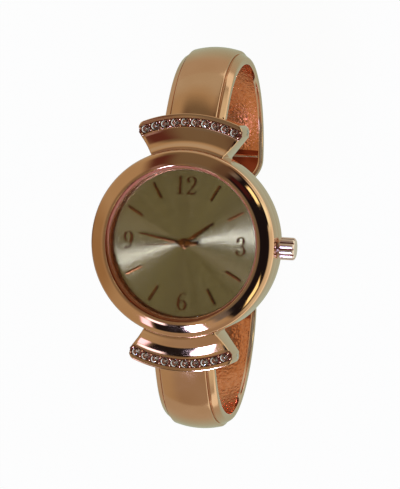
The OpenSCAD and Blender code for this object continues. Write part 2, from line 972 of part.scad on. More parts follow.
module main_plate() {
    color(brass_tone)
        difference() {
            union() {
                translate([0, 0, plate_z])
                    linear_extrude(plate_t)
                        movement_outline();
                for (p = bridge_posts)
                    translate([p[0], p[1], bridge_z + bridge_t])
                        cylinder(r = post_wide_r, h = plate_z - bridge_z - bridge_t + over / 2);
                translate([clamp_post[0], clamp_post[1], mvt_z])
                    cylinder(r = post_wide_r, h = plate_z - mvt_z + over / 2);
                for (p = [lever_pivot, yoke_pivot])
                    translate([p[0], p[1], lever_z])
                        cylinder(r = post_r, h = plate_z - lever_z + over / 2);
            }
            translate([battery_c[0], battery_c[1], -far])
                cylinder(r = battery_r + battery_play, h = far + mvt_z + battery_t + stack_gap);
            translate([0, 0, -over])
                cylinder(r = cannon_r + play, h = far);
            for (w = [[[0, 0], hour_teeth], [minute_c, minute_teeth], [setting_c, setting_teeth]])
                difference() {
                    translate([w[0][0], w[0][1], works_z])
                        cylinder(r = (w[1] / 2 + 1) * motion_m + 0.1, h = far);
                    for (p = [minute_c, setting_c])
                        translate([p[0], p[1], 0])
                            cylinder(r = stud_r, h = mvt_top - stack_gap);
                }
            for (p = [third_c, fifth_c, rotor_c])
                translate([p[0], p[1], plate_z - over])
                    cylinder(r = arbor_r + play, h = over + pivot_depth + 0.05);
            for (s = [1, -1])
                translate([s * dial_foot[0], s * dial_foot[1], 0])
                    cylinder(r = dial_foot_r + stack_gap, h = far);
            along_x(coil_mid_x - coil_half_l - 0.1, coil_y, coil_z, coil_r + 0.1, 2 * coil_half_l + 0.2);
            along_x(stem_start - crown_pull, 0, stem_z, stem_r + 0.15, far);
            along_x(clutch_x - crown_pull, 0, stem_z, clutch_r + 0.15, clutch_l + crown_pull + 0.2);
        }
}

module train_bridge() {
    color(brass_tone)
        translate([0, 0, bridge_z])
            linear_extrude(bridge_t)
                difference() {
                    hull()
                        for (p = concat(bridge_posts, [rotor_c]))
                            translate(p)
                                circle(r = post_wide_r + 0.15, $fn = 24);
                    translate(battery_c)
                        circle(r = battery_r + battery_play);
                    for (p = [[0, 0], third_c, fifth_c, rotor_c])
                        translate(p)
                            circle(r = arbor_r + play);
                }
}

module circuit_board() {
    board_t = 0.25;
    color(board_green)
        difference() {
            union() {
                translate([0, 0, mvt_z + 0.05])
                    linear_extrude(board_t)
                        intersection() {
                            movement_outline(-0.6);
                            translate([-mvt_r, -mvt_r])
                                square([mvt_d, mvt_r + 1.2]);
                        }
                translate([chip_at[0], chip_at[1], mvt_z - chip[2] + 0.1])
                    cube(chip);
            }
            translate([battery_c[0], battery_c[1], 0])
                cylinder(r = battery_r + 0.3, h = far);
            for (p = concat(bridge_posts, [clamp_post]))
                translate([p[0], p[1], 0])
                    cylinder(r = post_wide_r + 0.15, h = far);
        }
}

module quartz_can() {
    color(steel)
        along_x(can_start_x, can_y, can_axis_z, can_r, can_l);
}

module coil() {
    flange_t = 0.3;
    color(copper_wire)
        difference() {
            union() {
                along_x(coil_mid_x - coil_half_l, coil_y, coil_z, coil_r - 0.1, 2 * coil_half_l);
                for (s = [-1, 1])
                    along_x(coil_mid_x + s * (coil_half_l - flange_t / 2) - flange_t / 2, coil_y,
                            coil_z, coil_r, flange_t);
            }
            translate([coil_mid_x - far / 2, coil_y - core_w / 2, coil_z - core_t / 2])
                cube([far, core_w, core_t]);
        }
}

module coil_core() {
    color(steel)
        translate([coil_mid_x - core_half_l, coil_y - core_w / 2, coil_z - core_t / 2])
            cube([2 * core_half_l, core_w, core_t]);
}

module stator() {
    inner_y = coil_y + coil_r + 0.15;
    outer_y = coil_y - core_w / 2;
    left = coil_mid_x - core_half_l;
    right = coil_mid_x + core_half_l;
    cheek = core_half_l - coil_half_l - 0.2;
    color(steel)
        translate([0, 0, stator_z])
            linear_extrude(stator_t)
                difference() {
                    polygon([
                        [left, outer_y], [left + cheek, outer_y], [left + cheek, inner_y],
                        [right - cheek, inner_y], [right - cheek, outer_y], [right, outer_y],
                        [right, inner_y + 0.6], [rotor_c[0] + 1.5, rotor_c[1] + 1.1],
                        [rotor_c[0] - 1.5, rotor_c[1] + 1.1], [left, inner_y + 0.6]
                    ]);
                    translate(rotor_c)
                        circle(r = magnet_r + 0.12);
                }
}

module battery() {
    step_h = 0.5;
    color(steel)
        translate([battery_c[0], battery_c[1], mvt_z]) {
            cylinder(r = battery_r, h = battery_t - step_h);
            cylinder(r = battery_r - 0.6, h = battery_t);
        }
}

module battery_clamp() {
    color(brass_tone)
        translate([0, 0, mvt_z - 0.3])
            link_bar(clamp_post, battery_c, 0.8, 0.3);
}

module movement_screws() {
    color(steel)
        difference() {
            union() {
                for (p = bridge_posts)
                    translate([p[0], p[1], bridge_z - screw_head_t])
                        cylinder(r = screw_head_r, h = screw_head_t);
                translate([clamp_post[0], clamp_post[1], mvt_z - 0.3 - screw_head_t])
                    cylinder(r = screw_head_r, h = screw_head_t);
            }
            for (p = bridge_posts)
                translate([p[0] - over, p[1] - 0.08, bridge_z - screw_head_t - over])
                    cube([2 * over, 0.16, over + 0.1]);
            translate([clamp_post[0] - over, clamp_post[1] - 0.08, mvt_z - 0.3 - screw_head_t - over])
                cube([2 * over, 0.16, over + 0.1]);
        }
}

module rotor() {
    color(steel) {
        translate([rotor_c[0], rotor_c[1], train_z - 0.04])
            gear(rotor_teeth, rotor_m, wheel_t + 0.1, rotor_dir + 180);
        translate([rotor_c[0], rotor_c[1], stator_z - 0.02])
            cylinder(r = magnet_r, h = stator_t + 0.04);
        arbor(rotor_c, arbor_low, arbor_high);
    }
}

module fifth_wheel() {
    color(brass_tone) {
        translate([fifth_c[0], fifth_c[1], train_z])
            gear(fifth_teeth, rotor_m, wheel_t, rotor_dir + 180 / fifth_teeth);
        translate([fifth_c[0], fifth_c[1], fourth_z - 0.05])
            gear(fifth_leaves, fourth_m, train_z - fourth_z + 0.1, fifth_dir + 180);
        arbor(fifth_c, arbor_low, arbor_high);
    }
}

module fourth_wheel() {
    color(brass_tone) {
        translate([0, 0, fourth_z])
            gear(fourth_teeth, fourth_m, wheel_t, fifth_dir + 180 / fourth_teeth);
        translate([0, 0, fourth_z + wheel_t / 2])
            gear(fourth_leaves, third_m, wheel_t * 1.5 + 0.12, third_dir);
        arbor([0, 0], arbor_low, seconds_hand_z + seconds_hand_t);
    }
}

module third_wheel() {
    color(brass_tone) {
        translate([third_c[0], third_c[1], train_z])
            gear(third_teeth, third_m, wheel_t, gap_phase(third_dir, third_teeth));
        translate([third_c[0], third_c[1], train_z + wheel_t / 2])
            gear(third_leaves, centre_m, centre_z - train_z + wheel_t, third_dir + 180);
        arbor(third_c, arbor_low, arbor_high);
    }
}

module centre_wheel() {
    color(brass_tone)
        difference() {
            union() {
                translate([0, 0, centre_z])
                    gear(centre_teeth, centre_m, wheel_t, third_dir + 180 / centre_teeth);
                translate([0, 0, centre_z])
                    cylinder(r = cannon_r, h = minute_hand_z + minute_hand_t - centre_z);
                translate([0, 0, cannon_z])
                    gear(cannon_leaves, motion_m, cannon_h, minute_dir);
            }
            translate([0, 0, centre_z - over])
                cylinder(r = cannon_bore_r, h = far);
        }
}

module minute_wheel() {
    color(brass_tone)
        translate([minute_c[0], minute_c[1], cannon_z])
            difference() {
                union() {
                    gear(minute_teeth, motion_m, wheel_t, gap_phase(minute_dir, minute_teeth));
                    gear(minute_leaves, motion_m, mvt_top - stack_gap - cannon_z, minute_dir + 180);
                }
                translate([0, 0, -over])
                    cylinder(r = stud_r + play, h = 3 * over);
            }
}

module setting_wheel() {
    color(brass_tone)
        translate([setting_c[0], setting_c[1], cannon_z])
            gear(setting_teeth, motion_m, wheel_t, gap_phase(setting_dir, setting_teeth)
                 + 360 / setting_teeth * setting_lag, stud_r + play);
}

// The minute wheel's tooth nearest the setting wheel is part of a pitch off the line
// between them, and the setting wheel is turned back by as much
minute_offset = (setting_dir - gap_phase(minute_dir, minute_teeth)) / (360 / minute_teeth);
setting_lag = minute_offset - round(minute_offset);

module hour_wheel() {
    color(brass_tone)
        difference() {
            translate([0, 0, hour_wheel_z]) {
                gear(hour_teeth, motion_m, wheel_t, minute_dir + 180 / hour_teeth);
                cylinder(r = hour_tube_r, h = hour_hand_z + hour_hand_t - hour_wheel_z);
            }
            translate([0, 0, hour_wheel_z - over])
                cylinder(r = hour_bore_r, h = far);
        }
}

// Hands
module hand(l, t, base_w, mid_w, tip_w, hub_r, bore_r_hand) {
    linear_extrude(t)
        difference() {
            union() {
                circle(r = hub_r);
                polygon([
                    [-base_w / 2, 0], [base_w / 2, 0], [mid_w / 2, l * 0.35], [tip_w / 2, l],
                    [-tip_w / 2, l], [-mid_w / 2, l * 0.35]
                ]);
            }
            circle(r = bore_r_hand);
        }
}

module hour_hand() {
    color(copper_brown)
        translate([0, 0, hour_hand_z])
            at_clock(hour_angle)
                hand(hour_hand_l, hour_hand_t, 0.5, 0.7, 0.4, 0.95, hour_tube_r);
}

module minute_hand() {
    color(copper_brown)
        translate([0, 0, minute_hand_z])
            at_clock(minute_angle)
                hand(minute_hand_l, minute_hand_t, 0.4, 0.5, 0.2, 0.75, cannon_r);
}

module seconds_hand() {
    hub_r = 0.45;
    needle_w = 0.2;
    tail_w = 0.7;
    color(copper_brown)
        at_clock(seconds_angle)
            difference() {
                translate([0, 0, seconds_hand_z]) {
                    linear_extrude(seconds_hand_t) {
                        polygon([
                            [-needle_w / 2, 0], [needle_w / 2, 0], [needle_w / 4, seconds_hand_l],
                            [-needle_w / 4, seconds_hand_l]
                        ]);
                        translate([-tail_w / 2, -seconds_tail_l])
                            square([tail_w, seconds_tail_l - hub_r * 0.9]);
                    }
                    cylinder(r = hub_r, h = seconds_hand_t);
                }
                translate([0, 0, seconds_hand_z - over])
                    cylinder(r = arbor_r, h = far);
            }
}

case_middle();
bezel();
crystal();
crystal_gasket();
dial_ring();
dial();
hour_markers();
case_back();
back_gasket();
lug();  // upper_lug
mirror([0, 1, 0]) lug();  // lower_lug
stones();  // upper_stones
mirror([0, 1, 0]) stones();  // lower_stones
hinge_pin();  // upper_hinge_pin
mirror([0, 1, 0]) hinge_pin();  // lower_hinge_pin
hinge_springs();  // upper_hinge_springs
mirror([0, 1, 0]) hinge_springs();  // lower_hinge_springs
arm();  // upper_arm
mirror([0, 1, 0]) arm();  // lower_arm
crown();
crown_seal();
crown_tube();
winding_stem();
clutch_wheel();
setting_lever();
yoke();
movement_ring();
main_plate();
train_bridge();
circuit_board();
quartz_can();
coil();
coil_core();
stator();
battery();
battery_clamp();
movement_screws();
rotor();
fifth_wheel();
fourth_wheel();
third_wheel();
centre_wheel();
minute_wheel();
setting_wheel();
hour_wheel();
hour_hand();
minute_hand();
seconds_hand();
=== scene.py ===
"""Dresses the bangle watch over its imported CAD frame: fine pieces, finishes, studio and camera."""

import json
import logging
import math
from dataclasses import dataclass
from enum import Enum
from typing import Callable, Sequence

import bmesh
import bpy
from mathutils import Matrix, Vector


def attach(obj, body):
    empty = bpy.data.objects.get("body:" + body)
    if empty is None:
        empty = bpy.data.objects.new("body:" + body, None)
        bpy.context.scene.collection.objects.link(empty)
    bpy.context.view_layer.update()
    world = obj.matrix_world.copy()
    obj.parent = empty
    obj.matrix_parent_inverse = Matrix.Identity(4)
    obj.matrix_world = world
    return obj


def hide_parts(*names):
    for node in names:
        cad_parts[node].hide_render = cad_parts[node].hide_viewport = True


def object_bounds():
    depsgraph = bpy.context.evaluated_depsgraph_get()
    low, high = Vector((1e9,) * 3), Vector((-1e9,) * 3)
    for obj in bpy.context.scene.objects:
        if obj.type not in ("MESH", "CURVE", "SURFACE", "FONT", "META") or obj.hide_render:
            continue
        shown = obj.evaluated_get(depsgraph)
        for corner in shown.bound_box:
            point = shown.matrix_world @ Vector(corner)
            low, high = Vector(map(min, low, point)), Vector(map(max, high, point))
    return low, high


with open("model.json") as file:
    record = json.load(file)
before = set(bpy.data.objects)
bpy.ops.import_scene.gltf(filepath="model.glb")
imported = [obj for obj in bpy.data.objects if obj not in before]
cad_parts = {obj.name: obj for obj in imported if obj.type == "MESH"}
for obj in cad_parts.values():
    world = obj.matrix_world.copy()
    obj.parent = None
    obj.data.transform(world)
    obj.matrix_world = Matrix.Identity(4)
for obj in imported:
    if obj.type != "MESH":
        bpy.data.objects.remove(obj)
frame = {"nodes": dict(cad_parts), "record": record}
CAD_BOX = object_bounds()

MM = 0.001
MERGE = 2e-7
LOG = logging.getLogger("bangle_watch")

Flat = tuple[float, float]
Place = tuple[float, float, float]
Colour = tuple[float, float, float, float]
Ring = list[Place]


class End(Enum):
    """The two ends of the watch, with the sign of their side of the Y axis."""

    UPPER = 1
    LOWER = -1

    @property
    def word(self) -> str:
        """The end's name as the CAD nodes and bodies have it."""
        return self.name.lower()


class ArmZone(Enum):
    """Material slots of a half-bangle, in their order on the mesh."""

    OUTSIDE = 0
    RIM = 1
    RECESS = 2
    BOWL = 3


# Modelling

def deselect_all() -> None:
    """Goes back to object mode with nothing selected."""
    if bpy.context.object and bpy.context.object.mode != "OBJECT":
        bpy.ops.object.mode_set(mode="OBJECT")
    bpy.ops.object.select_all(action="DESELECT")


def choose(piece: bpy.types.Object) -> None:
    """Makes piece the only selected object, and the active one.

    Args:
        piece: The piece to select.
    """
    deselect_all()
    piece.select_set(True)
    bpy.context.view_layer.objects.active = piece


def named(name: str) -> bpy.types.Object:
    """Names the primitive that was just added, and returns it.

    Args:
        name: Its new name, which its mesh takes too.

    Returns:
        The primitive.
    """
    piece = bpy.context.active_object
    piece.name = name
    piece.data.name = name
    return piece


def rounded(corners: Sequence[Place], steps: int = 5) -> list[Flat]:
    """Rounds the corners of a closed outline.

    Args:
        corners: Each corner's two coordinates and its radius, in millimetres.
        steps: Segments in each rounded corner.

    Returns:
        The outline's points in the same order.
    """
    outline: list[Flat] = []
    for k, (x, y, radius) in enumerate(corners):
        here = Vector((x, y))
        before = (Vector(corners[k - 1][:2]) - here).normalized()
        after = (Vector(corners[(k + 1) % len(corners)][:2]) - here).normalized()
        angle = before.angle(after)
        if radius <= 0 or angle > math.pi - 0.01:
            outline.append((x, y))
            continue
        reach = radius / math.tan(angle / 2)
        centre = here + (before + after).normalized() * radius / math.sin(angle / 2)
        first = here + before * reach - centre
        last = here + after * reach - centre
        sweep = first.angle_signed(last)
        for step in range(steps + 1):
            turn = -sweep * step / steps
            spoke = Vector((first.x * math.cos(turn) - first.y * math.sin(turn),
                            first.x * math.sin(turn) + first.y * math.cos(turn)))
            outline.append(tuple(centre + spoke))
    return outline


def arc(centre: Flat, radius: float, start: float, end: float, steps: int) -> list[Flat]:
    """Points on a circle's arc, from start to end in degrees."""
    angles = [math.radians(start + (end - start) * k / steps) for k in range(steps + 1)]
    return [(centre[0] + radius * math.cos(a), centre[1] + radius * math.sin(a)) for a in angles]


def turn_index(angle: float, count: int) -> int:
    """The number of a circle primitive's point at angle, wherever its first point lies."""
    return math.floor(angle / math.tau * count + 0.1) % count


def mend(piece: bpy.types.Object) -> None:
    """Merges doubles within MERGE metres, fills open ends and turns all faces outwards.

    Args:
        piece: The piece to mend.
    """
    choose(piece)
    bpy.ops.object.mode_set(mode="EDIT")
    bpy.ops.mesh.select_mode(type="VERT")
    bpy.ops.mesh.select_all(action="SELECT")
    bpy.ops.mesh.remove_doubles(threshold=MERGE)
    bpy.ops.mesh.delete_loose(use_verts=True, use_edges=True, use_faces=False)
    bpy.ops.mesh.select_all(action="SELECT")
    bpy.ops.mesh.fill_holes(sides=0)
    bpy.ops.mesh.select_all(action="SELECT")
    bpy.ops.mesh.normals_make_consistent(inside=False)
    bpy.ops.object.mode_set(mode="OBJECT")


def smooth(piece: bpy.types.Object, angle: float = 32) -> None:
    """Shades piece smooth, with edges sharper than angle in degrees kept sharp."""
    choose(piece)
    bpy.ops.object.shade_smooth_by_angle(angle=math.radians(angle))


def shaped_tube(name: str, rings: Sequence[Ring],
                zone: Callable[[int, int], int] | None = None) -> bpy.types.Object:
    """Spins a circle into a tube and draws it onto rings of points, one after another.

    Args:
        name: Name of the new piece.
        rings: Loops with the same number of points, in millimetres.
        zone: Gives the material slot of the face at a ring and a point, counted from 0.

    Returns:
        The closed piece.
    """
    count, spans, arm = len(rings[0]), len(rings) - 1, 3.0
    deselect_all()
    bpy.ops.mesh.primitive_circle_add(vertices=count, radius=1, fill_type="NOTHING",
                                      location=(arm, 0, 0), rotation=(math.pi / 2, 0, 0))
    piece = named(name)
    bpy.ops.object.transform_apply(location=True, rotation=True, scale=True)
    bpy.ops.object.mode_set(mode="EDIT")
    bpy.ops.mesh.select_all(action="SELECT")
    bpy.ops.mesh.spin(steps=spans, angle=math.pi, center=(0, 0, 0), axis=(0, 0, 1))
    bpy.ops.object.mode_set(mode="OBJECT")
    spots: list[tuple[int, int]] = []
    for vertex in piece.data.vertices:
        x, y, z = vertex.co
        ring = round(abs(math.atan2(y, x)) / math.pi * spans)
        point = turn_index(math.atan2(z, math.hypot(x, y) - arm), count)
        spots.append((ring, point))
        vertex.co = Vector(rings[ring][point]) * MM
    if zone:
        for face in piece.data.polygons:
            ring = min(spots[v][0] for v in face.vertices)
            points = sorted({spots[v][1] for v in face.vertices})
            wraps = points[-1] - points[0] > 1
            face.material_index = zone(ring, points[-1] if wraps else points[0])
    mend(piece)
    return piece


def lathed(name: str, outline: Sequence[Flat], steps: int = 180) -> bpy.types.Object:
    """Spins a closed outline of radius and height once round the Z axis.

    Args:
        name: Name of the new piece.
        outline: Radius and height of each point, in millimetres.
        steps: Segments in the full turn.

    Returns:
        The closed piece.
    """
    count = len(outline)
    deselect_all()
    bpy.ops.mesh.primitive_circle_add(vertices=count, radius=1, fill_type="NOTHING",
                                      rotation=(math.pi / 2, 0, 0))
    piece = named(name)
    bpy.ops.object.transform_apply(location=True, rotation=True, scale=True)
    for vertex in piece.data.vertices:
        radius, height = outline[turn_index(math.atan2(vertex.co.z, vertex.co.x), count)]
        vertex.co = Vector((radius, 0, height)) * MM
    bpy.ops.object.mode_set(mode="EDIT")
    bpy.ops.mesh.select_all(action="SELECT")
    bpy.ops.mesh.spin(steps=steps, angle=math.tau, center=(0, 0, 0), axis=(0, 0, 1))
    bpy.ops.object.mode_set(mode="OBJECT")
    mend(piece)
    return piece


def raised(name: str, outline: Sequence[Flat], low: float, high: float) -> bpy.types.Object:
    """Draws a filled circle onto an outline and extrudes it from height low to high.

    Args:
        name: Name of the new piece.
        outline: Points of the outline, in millimetres.
        low: Height of the lower face.
        high: Height of the upper face.

    Returns:
        The closed piece.
    """
    count = len(outline)
    deselect_all()
    bpy.ops.mesh.primitive_circle_add(vertices=count, radius=1, fill_type="NGON")
    piece = named(name)
    for vertex in piece.data.vertices:
        x, y = outline[turn_index(math.atan2(vertex.co.y, vertex.co.x), count)]
        vertex.co = Vector((x, y, low)) * MM
    bpy.ops.object.mode_set(mode="EDIT")
    bpy.ops.mesh.select_all(action="SELECT")
    rise = (0, 0, (high - low) * MM)
    bpy.ops.mesh.extrude_region_move(TRANSFORM_OT_translate={"value": rise})
    bpy.ops.object.mode_set(mode="OBJECT")
    mend(piece)
    return piece


def worked(piece: bpy.types.Object, tool: bpy.types.Object, way: str = "DIFFERENCE") -> None:
    """Cuts piece with tool, or joins them where way is UNION, and removes the tool.

    Args:
        piece: The piece that is worked.
        tool: The piece that cuts it or is joined to it.
        way: The boolean's operation.
    """
    choose(piece)
    step = piece.modifiers.new("work", "BOOLEAN")
    step.operation = way
    step.solver = "EXACT"
    step.object = tool
    bpy.ops.object.modifier_apply(modifier=step.name)
    bpy.data.objects.remove(tool, do_unlink=True)


def softened(piece: bpy.types.Object, width: float, angle: float, segments: int) -> None:
    """Rounds the piece's edges sharper than angle, in degrees, by width millimetres.

    Args:
        piece: The piece.
        width: Width of each bevel, in millimetres.
        angle: Edges sharper than this are rounded, in degrees.
        segments: Segments in each bevel.
    """
    choose(piece)
    step = piece.modifiers.new("soften", "BEVEL")
    step.width = width * MM
    step.segments = segments
    step.limit_method = "ANGLE"
    step.angle_limit = math.radians(angle)
    bpy.ops.object.modifier_apply(modifier=step.name)


def placed_copy(piece: bpy.types.Object, name: str, move: Matrix) -> bpy.types.Object:
    """Copies piece with its own mesh, moved by a matrix.

    Args:
        piece: The piece to copy.
        name: Name of the copy.
        move: What is done to its mesh, also a mirror.

    Returns:
        The copy.
    """
    choose(piece)
    bpy.ops.object.duplicate(linked=False)
    copy = named(name)
    copy.data.transform(move)
    if move.determinant() < 0:
        copy.data.flip_normals()
    return copy


def mirrored_y(piece: bpy.types.Object, name: str) -> bpy.types.Object:
    """The piece's mirror image at the other end of the watch."""
    return placed_copy(piece, name, Matrix.Scale(-1, 4, (0, 1, 0)))


def merged_copy(node: str, name: str) -> bpy.types.Object:
    """Copies a CAD node's mesh with its triangles joined, so that its curves shade smoothly.

    Args:
        node: The CAD node's name.
        name: Name of the copy.

    Returns:
        The copy.
    """
    copy = placed_copy(frame["nodes"][node], name, Matrix.Identity(4))
    copy.parent = None
    mend(copy)
    smooth(copy)
    return copy


def along_x(y: float, z: float) -> Matrix:
    """Lays what was made about the Z axis along X, at y and z millimetres."""
    return Matrix.Translation(Vector((0, y, z)) * MM) @ Matrix.Rotation(math.pi / 2, 4, "Y")


def one_piece(pieces: Sequence[bpy.types.Object], name: str) -> bpy.types.Object:
    """Joins pieces into one object.

    Args:
        pieces: The pieces; the first takes in the others.
        name: Name of the whole.

    Returns:
        The whole.
    """
    choose(pieces[0])
    for piece in pieces[1:]:
        piece.select_set(True)
    if len(pieces) > 1:
        bpy.ops.object.join()
    return named(name)


def coat(piece: bpy.types.Object, *materials: bpy.types.Material) -> None:
    """Fills the piece's material slots, and leaves each face in its slot.

    Args:
        piece: The piece.
        materials: Its materials, in the order of its slots.
    """
    zones = [face.material_index for face in piece.data.polygons]
    piece.data.materials.clear()
    for material in materials:
        piece.data.materials.append(material)
    if len(materials) > 1:
        piece.data.polygons.foreach_set("material_index", zones)


def fitted(piece: bpy.types.Object, body: str, slot: str, material: bpy.types.Material | None,
           *nodes: str) -> bpy.types.Object:
    """Dresses a finished piece and fixes it to its body.

    Args:
        piece: The finished piece.
        body: The CAD body that it rides on.
        slot: The record's material slot; not used.
        material: Its finish, or None where its slots are filled already.
        nodes: The CAD nodes that it stands for.

    Returns:
        The same piece.
    """
    if material:
        coat(piece, material)
    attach(piece, body)
    if nodes:
        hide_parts(*nodes)
    LOG.info("%s: %d faces", piece.name, len(piece.data.polygons))
    return piece


# Shader building

Inputs = dict[str | int, object]


def fill(tree: bpy.types.NodeTree, node: bpy.types.Node, inputs: Inputs) -> None:
    """Sets a node's inputs to values, or joins them to sockets.

    Args:
        tree: The node tree.
        node: The node.
        inputs: Values for its inputs, or sockets to join to them.
    """
    for key, value in inputs.items():
        if isinstance(value, bpy.types.NodeSocket):
            tree.links.new(value, node.inputs[key])
        else:
            node.inputs[key].default_value = value


def add(tree: bpy.types.NodeTree, kind: str, inputs: Inputs | None = None,
        **settings: object) -> bpy.types.Node:
    """Adds a shader node.

    Args:
        tree: The node tree.
        kind: The node's type, without its ShaderNode beginning.
        inputs: Values for its inputs, or sockets to join to them.
        settings: Values of its properties.

    Returns:
        The node.
    """
    node = tree.nodes.new(f"ShaderNode{kind}")
    for key, value in settings.items():
        setattr(node, key, value)
    fill(tree, node, inputs or {})
    return node


def maths(tree: bpy.types.NodeTree, way: str, *values: object) -> bpy.types.NodeSocket:
    """The result of a Math node on values or sockets."""
    return add(tree, "Math", dict(enumerate(values)), operation=way).outputs[0]


def remap(tree: bpy.types.NodeTree, value: bpy.types.NodeSocket, low: object, high: object,
          to_low: object, to_high: object, curve: str = "LINEAR") -> bpy.types.NodeSocket:
    """Maps value from low..high to to_low..to_high, and keeps it between them.

    Args:
        tree: The node tree.
        value: The socket to map.
        low: Value that becomes to_low.
        high: Value that becomes to_high.
        to_low: Result at low.
        to_high: Result at high.
        curve: How the result runs between them.

    Returns:
        The result.
    """
    node = add(tree, "MapRange", {0: value, 1: low, 2: high, 3: to_low, 4: to_high},
               interpolation_type=curve)
    return node.outputs[0]


def object_place(tree: bpy.types.NodeTree) -> bpy.types.NodeSocket:
    """The point's place in the watch's own frame, in metres."""
    return add(tree, "TexCoord").outputs["Object"]


class Effect:
    """A shader node group that several finishes share."""

    built: dict[str, bpy.types.NodeTree] = {}

    @classmethod
    def group(cls, name: str, inputs: Sequence[tuple[str, str, float]],
              outputs: Sequence[tuple[str, str]]) -> tuple[bpy.types.NodeTree, dict[str, object]]:
        """Starts a node group.

        Args:
            name: The group's name.
            inputs: Name, socket type and default of each input beside the vector.
            outputs: Name and socket type of each output.

        Returns:
            The tree, and its input sockets by name.
        """
        tree = bpy.data.node_groups.new(name, "ShaderNodeTree")
        tree.interface.new_socket("Vector", in_out="INPUT", socket_type="NodeSocketVector")
        for label, kind, value in inputs:
            tree.interface.new_socket(label, in_out="INPUT", socket_type=kind).default_value = value
        for label, kind in outputs:
            tree.interface.new_socket(label, in_out="OUTPUT", socket_type=kind)
        entry = tree.nodes.new("NodeGroupInput")
        return tree, {socket.name: socket for socket in entry.outputs}

    @staticmethod
    def give(tree: bpy.types.NodeTree, **results: bpy.types.NodeSocket) -> None:
        """Joins results to the group's outputs of those names.

        Args:
            tree: The group's tree.
            results: Sockets by the outputs' names.
        """
        leave = tree.nodes.new("NodeGroupOutput")
        for label, socket in results.items():
            tree.links.new(socket, leave.inputs[label])

    @classmethod
    def haze(cls) -> bpy.types.NodeTree:
        """Soft clouds of wear and handling, as a roughness between two values.

        Returns:
            The group.
        """
        if "haze" not in cls.built:
            number = "NodeSocketFloat"
            tree, given = cls.group("soft haze", [("Scale", number, 300), ("Low", number, 0.05),
                                                  ("High", number, 0.12)], [("Rough", number)])
            wide = add(tree, "TexNoise", {"Vector": given["Vector"], "Scale": given["Scale"],
                                          "Detail": 4.0, "Roughness": 0.6})
            rough = remap(tree, wide.outputs[0], 0.35, 0.68, given["Low"], given["High"])
            cls.give(tree, Rough=rough)
            cls.built["haze"] = tree
        return cls.built["haze"]

    @classmethod
    def hairlines(cls) -> bpy.types.NodeTree:
        """Fine polishing lines: a normal and a mask, with the pattern drawn out by the vector.

        Returns:
            The group.
        """
        if "hairlines" not in cls.built:
            number = "NodeSocketFloat"
            tree, given = cls.group("hairlines",
                                    [("Scale", number, 4000), ("Strength", number, 0.05)],
                                    [("Normal", "NodeSocketVector"), ("Mask", number)])
            lines = add(tree, "TexNoise", {"Vector": given["Vector"], "Scale": given["Scale"],
                                           "Detail": 3.0, "Roughness": 0.7})
            bump = add(tree, "Bump", {"Strength": given["Strength"], "Distance": 0.00002,
                                      "Height": lines.outputs[0]})
            cls.give(tree, Normal=bump.outputs[0], Mask=lines.outputs[0])
            cls.built["hairlines"] = tree
        return cls.built["hairlines"]

    @classmethod
    def pebbles(cls) -> bpy.types.NodeTree:
        """The cast grain inside the bangle: rounded pebbles over a wavy ground, and a mask of the
        hollows between them that darkens the colour as painted shade.

        Returns:
            The group.
        """
        if "pebbles" not in cls.built:
            number = "NodeSocketFloat"
            tree, given = cls.group("cast pebbles",
                                    [("Scale", number, 2300), ("Depth", number, 0.6)],
                                    [("Normal", "NodeSocketVector"), ("Hollow", number)])
            warp = add(tree, "TexNoise", {"Vector": given["Vector"], "Scale": 900.0, "Detail": 1.0})
            shift = add(tree, "VectorMath", {0: warp.outputs[1], 1: (0.0006, 0.0006, 0.0006)},
                        operation="MULTIPLY")
            moved = add(tree, "VectorMath", {0: given["Vector"], 1: shift.outputs[0]},
                        operation="ADD")
            grain = add(tree, "TexVoronoi", {"Vector": moved.outputs[0], "Scale": given["Scale"]},
                        feature="SMOOTH_F1")
            swell = add(tree, "TexNoise", {"Vector": given["Vector"], "Scale": 700.0,
                                           "Detail": 2.0})
            height = maths(tree, "MULTIPLY_ADD", grain.outputs["Distance"], -0.7,
                           maths(tree, "MULTIPLY", swell.outputs[0], 0.8))
            bump = add(tree, "Bump", {"Strength": given["Depth"], "Distance": 0.0002,
                                      "Height": height})
            # The hollows between the pebbles: the mask of painted shade.
            hollow = remap(tree, grain.outputs["Distance"], 0.25, 0.7, 0.0, 1.0)
            cls.give(tree, Normal=bump.outputs[0], Hollow=hollow)
            cls.built["pebbles"] = tree
        return cls.built["pebbles"]


def effect(tree: bpy.types.NodeTree, group: bpy.types.NodeTree, inputs: Inputs) -> bpy.types.Node:
    """Places a shared effect in a material.

    Args:
        tree: The material's tree.
        group: The effect.
        inputs: Its values or sockets by name.

    Returns:
        The group node.
    """
    node = tree.nodes.new("ShaderNodeGroup")
    node.node_tree = group
    fill(tree, node, inputs)
    return node


def stretched(tree: bpy.types.NodeTree, vector: bpy.types.NodeSocket,
              scale: Place) -> bpy.types.NodeSocket:
    """A pattern's vector, drawn out along the axes whose scale is small."""
    return add(tree, "Mapping", {"Vector": vector, "Scale": scale}).outputs[0]


def new_material(name: str) -> tuple[bpy.types.Material, bpy.types.NodeTree]:
    """An empty node material and its tree.

    Args:
        name: The material's name.

    Returns:
        The material and its tree.
    """
    material = bpy.data.materials.new(name)
    material.use_nodes = True
    material.node_tree.nodes.clear()
    return material, material.node_tree


def surface(tree: bpy.types.NodeTree, inputs: Inputs) -> None:
    """Adds the Principled shader with its inputs and joins it to the output."""
    shader = add(tree, "BsdfPrincipled", inputs)
    add(tree, "OutputMaterial", {"Surface": shader.outputs[0]})


def tinted(tree: bpy.types.NodeTree, factor: bpy.types.NodeSocket, first: object,
           second: object) -> bpy.types.NodeSocket:
    """A colour between two colours or colour sockets, by factor."""
    node = add(tree, "Mix", {0: factor, 6: first, 7: second}, data_type="RGBA")
    return node.outputs[2]


# Finishes

